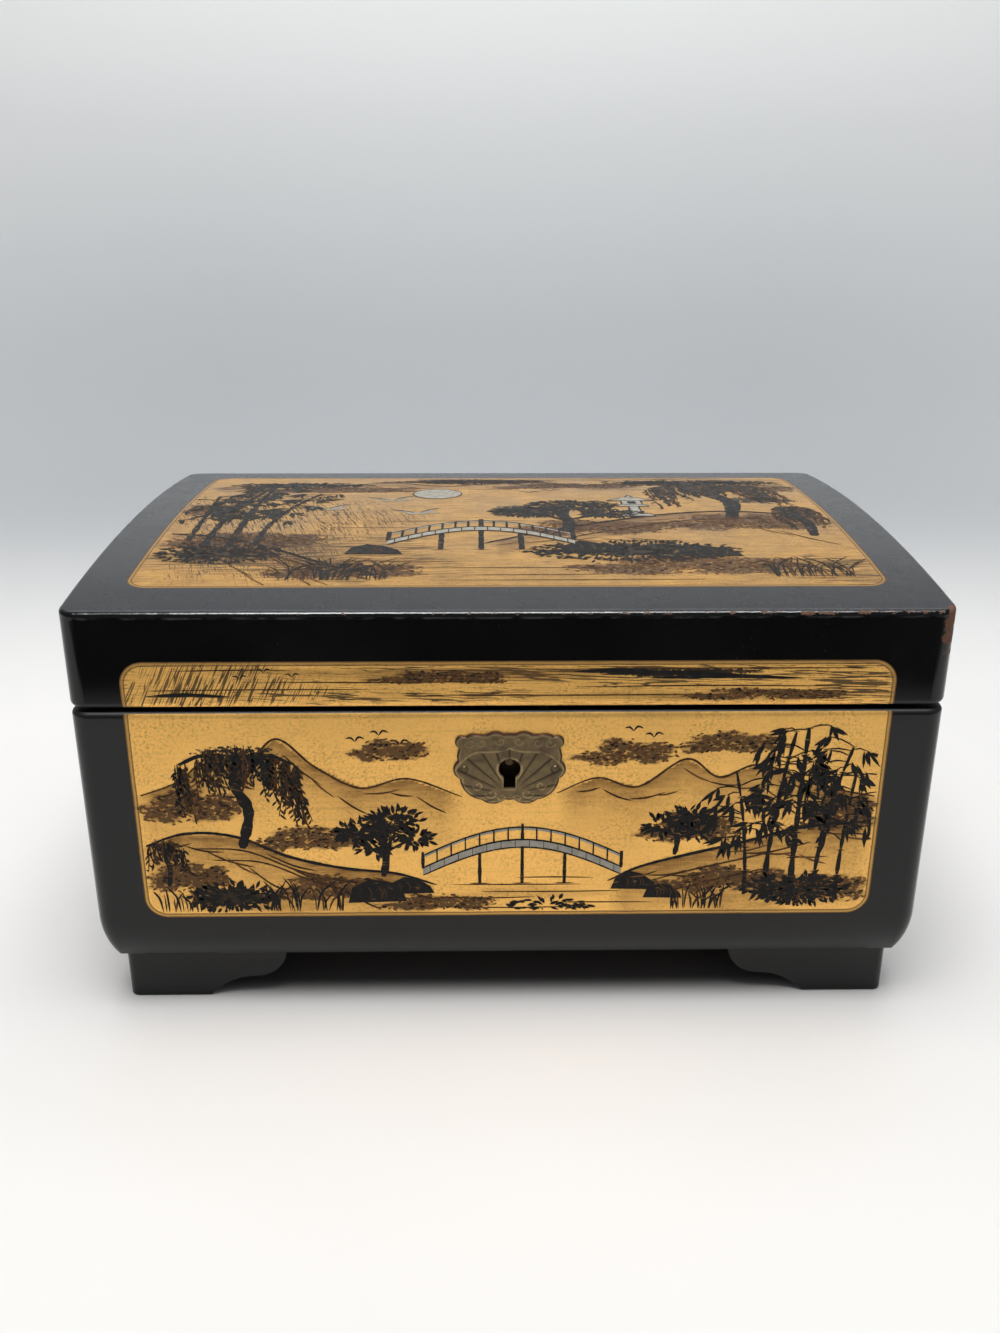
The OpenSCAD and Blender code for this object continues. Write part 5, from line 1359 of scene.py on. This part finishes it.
class JEWEL_OT_ring_rolls(bpy.types.Operator):
    """Stuffed velvet ring rolls in the tray"""

    bl_idname = "jewel.ring_rolls"
    bl_label = "Ring rolls"

    COUNT = 4
    # How much thinner the rolls start, and how far the stuffing may push a point, in millimetres
    SLACK, CAP = 0.4, 0.5
    # A roll's rounded end: distance from the end in millimetres and share of the radius
    END = ((0.5, 0), (0.5, 0.3), (0.6, 0.55), (0.9, 0.76), (1.7, 0.92), (2.9, 1))
    STRAIGHT_FROM, RINGS, SIDES = 4.4, 84, 32
    # How far the points are moved at random, in millimetres
    RUMPLE, RUMPLE_SEED = 0.12, 4

    def execute(self, context):
        low, high = (Vector(c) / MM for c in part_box("ring_rolls"))
        full = (high.z - low.z) / 2
        pitch = (high.y - low.y - 2 * full) / (self.COUNT - 1)
        middle = Vector((0, low.y + full, low.z + full))
        r = full - self.SLACK
        xs = np.linspace(low.x + self.STRAIGHT_FROM, high.x - self.STRAIGHT_FROM, self.RINGS)
        line = [(low.x + a, r * b) for a, b in self.END] + [(x, r) for x in xs]
        line += [(high.x - a, r * b) for a, b in reversed(self.END)]
        data = bpy.data.meshes.new("ring_rolls_stuffed")
        data.from_pydata([mm(x, middle.y, middle.z + b) for x, b in line],
                         [(i, i + 1) for i in range(len(line) - 1)], [])
        piece = bpy.data.objects.new("ring_rolls_stuffed", data)
        context.scene.collection.objects.link(piece)
        edit(piece)
        bpy.ops.mesh.spin(steps=self.SIDES, angle=2 * math.pi, center=mm(*middle), axis=(1, 0, 0))
        bpy.ops.mesh.select_all(action="SELECT")
        bpy.ops.mesh.remove_doubles(threshold=1e-6)
        for _ in range(self.COUNT - 1):
            bpy.ops.mesh.duplicate_move(TRANSFORM_OT_translate={"value": (0, pitch * MM, 0)})
        bpy.ops.mesh.select_all(action="SELECT")
        bpy.ops.mesh.normals_make_consistent(inside=False)
        bpy.ops.transform.vertex_random(offset=self.RUMPLE * MM, seed=self.RUMPLE_SEED)
        start()
        stuff(piece, self.CAP * MM)
        axes = [(middle.y + k * pitch) * MM for k in range(self.COUNT)]
        for v in piece.data.vertices:
            y = min(axes, key=lambda a: abs(v.co.y - a))
            away = Vector((0, v.co.y - y, v.co.z - middle.z * MM))
            if away.length > full * MM:
                v.co -= away * (1 - full * MM / away.length)
        pick(piece)
        bpy.ops.object.modifier_add(type="SUBSURF")
        piece.modifiers[-1].levels = piece.modifiers[-1].render_levels = 1
        bpy.ops.object.shade_smooth()
        dress(piece, [red_velvet()], "tray", "red_velvet", "ring_rolls")
        return {"FINISHED"}


def stuff(piece, cap):
    """Blows a closed mesh up as cloth and keeps each point within a distance of where it was."""
    pick(piece)
    before = [v.co.copy() for v in piece.data.vertices]
    bpy.ops.object.modifier_add(type="CLOTH")
    cloth = piece.modifiers[-1]
    velvet = cloth.settings
    velvet.quality = 6
    velvet.mass = 0.1
    velvet.tension_stiffness = velvet.compression_stiffness = 6
    velvet.bending_stiffness = 0.05
    velvet.use_pressure = True
    velvet.uniform_pressure_force = 4
    velvet.shrink_min = -0.06
    velvet.effector_weights.gravity = 0
    cloth.collision_settings.use_collision = False
    scene = bpy.context.scene
    for moment in range(1, 21):
        scene.frame_set(moment)
    bpy.ops.object.modifier_apply(modifier=cloth.name)
    scene.frame_set(1)
    for v, place in zip(piece.data.vertices, before):
        moved = v.co - place
        if moved.length > cap:
            v.co = place + moved * (cap / moved.length)


class JEWEL_OT_inside(bpy.types.Operator):
    """Velvet linings and tray, mirror, clear cover and bottom board"""

    bl_idname = "jewel.inside"
    bl_label = "Inside"

    # Pieces covered in velvet, with the rounding of their edges in millimetres
    COVERED = {"tray_frame": 0.7, "music_partition": 0.8, "movement_divider": 0.8, "lid_lining": 0.6}
    # The mirror's bevel, and how near its face an edge lies that gets it
    MIRROR_BEVEL, MIRROR_FACE = 1.6, 0.2

    def execute(self, context):
        for node, width in self.COVERED.items():
            soften(node, width, red_velvet(), "red_velvet", 3)
        near = level("lid_mirror", 0, 2) + self.MIRROR_FACE
        soften("lid_mirror", self.MIRROR_BEVEL, mirror_glass(), "mirror_glass", 1, lambda p: p.z < near)
        coat_slots({"red_velvet": red_velvet, "bare_wood": plain_wood, "clear_cover": clear_sheet,
                    "mirror_glass": mirror_glass})
        return {"FINISHED"}


def lay_sweep():
    """Pale floor that runs up into a wall, with a painted shadow under the box, painted shade near the wall's
    foot and high on it, and painted light towards its sides.
    """
    start()
    bpy.ops.mesh.primitive_plane_add(size=1.0)
    sweep = bpy.context.object
    sweep.name = "sweep"
    size, shift, wall_run = (6.0, 5.0, 1.0), (0, -1.7, 0), (0, 0.25, 1.8)
    back = shift[1] + size[1] / 2
    edit(sweep)
    bpy.ops.transform.resize(value=size)
    bpy.ops.transform.translate(value=shift)

    def at_back(e):
        return all(abs(sweep.data.vertices[i].co.y - back) < 1e-4 for i in e.vertices)

    choose(sweep, "EDGE", at_back)
    bpy.ops.mesh.extrude_region_move(TRANSFORM_OT_translate={"value": wall_run})
    choose(sweep, "EDGE", at_back)
    bpy.ops.mesh.bevel(offset=0.3, segments=12, affect="EDGES")
    pick(sweep)
    bpy.ops.object.shade_smooth()
    f = Finish("pale_sweep")
    aside, high = f.unsigned(f.axis("X")), f.axis("Z")
    floor = f.mix(f.ramp(f.noise(3, 3, 0.6), 0.3, 0.7), (0.80, 0.79, 0.78), (0.83, 0.82, 0.81))
    # Painted shade and light on the wall: darker near its foot and high up, lighter in between and towards
    # the sides
    wall = f.mix(f.ramp(high, 0.06, 0.44), (0.46, 0.48, 0.50), (0.87, 0.88, 0.88))
    wall = f.mix(f.ramp(high, 0.55, 1.0), wall, (0.22, 0.23, 0.24))
    wall = f.mix(f.ramp(aside, 0.2, 0.7, 0, 0.3), wall, (0.9, 0.9, 0.9))
    # Painted shadow: the floor is darker in the box's footprint
    across = f.ramp(aside, 0.108, 0.122, 1, 0)
    deep = f.ramp(f.unsigned(f.axis("Y")), 0.074, 0.086, 1, 0)
    floor = f.mix(f.times(across, deep), floor, (0.14, 0.135, 0.13))
    f.set(Base_Color=f.mix(f.ramp(f.axis("Y"), 0.12, 0.6), floor, wall))
    f.set(Roughness=0.9, Specular_IOR_Level=0.05)
    sweep.data.materials.append(f.material)


def lay_card():
    """Dark card on the floor in front, which only the gloss of the lacquer shows."""
    start()
    bpy.ops.mesh.primitive_grid_add(x_subdivisions=6, y_subdivisions=3, size=1.0)
    card = bpy.context.object
    card.name = "dark_card"
    edit(card)
    bpy.ops.transform.resize(value=(1.6, 0.64, 1.0))
    bpy.ops.transform.translate(value=(0, -0.62, 0.003))
    start()
    f = Finish("dark_felt")
    side = f.ramp(f.unsigned(f.axis("X")), 0.2, 0.75, 1, 0)
    far = f.ramp(f.axis("Y"), -0.93, -0.6)
    near = f.ramp(f.axis("Y"), -0.36, -0.3, 1, 0)
    f.set(Base_Color=f.mix(f.noise(200, 3), (0.012, 0.012, 0.012), (0.02, 0.02, 0.02)), Roughness=0.95)
    f.set(Alpha=f.times(side, f.times(far, near)))
    card.data.materials.append(f.material)
    card.visible_camera = card.visible_diffuse = card.visible_shadow = False


def hang_lamp(name, place, aim, width, height, watts, tint=(1, 1, 1)):
    """An area lamp that faces a point."""
    lamp = bpy.data.lights.new(name, "AREA")
    lamp.shape = "RECTANGLE"
    lamp.size, lamp.size_y = width, height
    lamp.energy = watts
    lamp.color = tint
    holder = bpy.data.objects.new(name, lamp)
    bpy.context.scene.collection.objects.link(holder)
    holder.location = place
    holder.rotation_euler = (Vector(aim) - Vector(place)).to_track_quat("-Z", "Y").to_euler()
    return holder


def light_stage(scene):
    """Soft light from above, and three lamps that only show as glints on the lid's edge."""
    scene.world = bpy.data.worlds.new("studio")
    scene.world.use_nodes = True
    sky = scene.world.node_tree.nodes["Background"]
    sky.inputs["Color"].default_value = (0.86, 0.9, 0.95, 1)
    sky.inputs["Strength"].default_value = 0.28
    hang_lamp("key_light", (-0.08, -0.32, 1.35), (0, -0.1, 0.0), 0.9, 0.9, 14.0, (1.0, 0.98, 0.95))
    hang_lamp("top_light", (0.1, 0.25, 1.5), (0, 0, 0.05), 1.2, 1.2, 9.0, (0.97, 0.99, 1.0))
    glint_height, radiance = 0.4, 28.0
    glints = (("glint_left", -0.2, 0.34), ("glint_middle", 0.1, 0.12), ("glint_right", 0.36, 0.16))
    for name, x, width in glints:
        watts = radiance * math.pi * width * glint_height
        glint = hang_lamp(name, (x, -0.4, 1.3), (0, -0.09, 0.13), width, glint_height, watts)
        glint.visible_diffuse = False


# The camera's place in millimetres, its turns in degrees and its lens
CAMERA_PLACE = (-8.64, -416.0, 243.4)
CAMERA_PITCH, CAMERA_YAW, CAMERA_ROLL = 21.39, 1.01, 0.156
CAMERA_LENS, CAMERA_SENSOR = 33.42, 36.0


def set_camera(scene):
    """Camera at the photograph's viewing angle."""
    camera = bpy.data.cameras.new("camera")
    camera.lens = CAMERA_LENS
    camera.sensor_width = CAMERA_SENSOR
    holder = bpy.data.objects.new("camera", camera)
    scene.collection.objects.link(holder)
    pitch, yaw, roll = (math.radians(a) for a in (CAMERA_PITCH, CAMERA_YAW, CAMERA_ROLL))
    ahead = Vector((math.sin(yaw) * math.cos(pitch), math.cos(yaw) * math.cos(pitch), -math.sin(pitch)))
    level_right = Vector((math.cos(yaw), -math.sin(yaw), 0))
    level_up = level_right.cross(ahead)
    right = math.cos(roll) * level_right + math.sin(roll) * level_up
    up = -math.sin(roll) * level_right + math.cos(roll) * level_up
    turn = Matrix((right, up, -ahead)).transposed()
    holder.matrix_world = Matrix.Translation(mm(*CAMERA_PLACE)) @ turn.to_4x4()
    scene.camera = holder


class JEWEL_OT_stage(bpy.types.Operator):
    """Pale sweep, soft light and the camera"""

    bl_idname = "jewel.stage"
    bl_label = "Stage"

    def execute(self, context):
        lay_sweep()
        lay_card()
        light_stage(context.scene)
        set_camera(context.scene)
        context.scene.view_settings.view_transform = "Standard"
        return {"FINISHED"}


PIECES = (JEWEL_OT_lacquer, JEWEL_OT_grounds, JEWEL_OT_escutcheon, JEWEL_OT_metalwork, JEWEL_OT_inside,
          JEWEL_OT_ring_rolls, JEWEL_OT_stage)


class JEWEL_PT_panel(bpy.types.Panel):
    """Sizes, colours and pieces of the jewelry box"""

    bl_label = "Jewelry Box"
    bl_idname = "JEWEL_PT_panel"
    bl_space_type = "VIEW_3D"
    bl_region_type = "UI"
    bl_category = "Jewelry Box"

    def draw(self, context):
        for group in (context.scene.jewel_sizes, context.scene.jewel_colours):
            for name in group.__annotations__:
                self.layout.prop(group, name)
        for piece in PIECES:
            self.layout.operator(piece.bl_idname)


CLASSES = (JewelSizes, JewelColours, *PIECES, JEWEL_PT_panel)


def register():
    for one in CLASSES:
        bpy.utils.register_class(one)
    bpy.types.Scene.jewel_sizes = bpy.props.PointerProperty(type=JewelSizes)
    bpy.types.Scene.jewel_colours = bpy.props.PointerProperty(type=JewelColours)


def unregister():
    del bpy.types.Scene.jewel_colours
    del bpy.types.Scene.jewel_sizes
    for one in reversed(CLASSES):
        bpy.utils.unregister_class(one)


def main():
    register()
    bpy.ops.jewel.lacquer()
    bpy.ops.jewel.grounds()
    bpy.ops.jewel.escutcheon()
    bpy.ops.jewel.metalwork()
    bpy.ops.jewel.inside()
    bpy.ops.jewel.ring_rolls()
    bpy.ops.jewel.stage()


if __name__ == "__main__":
    main()
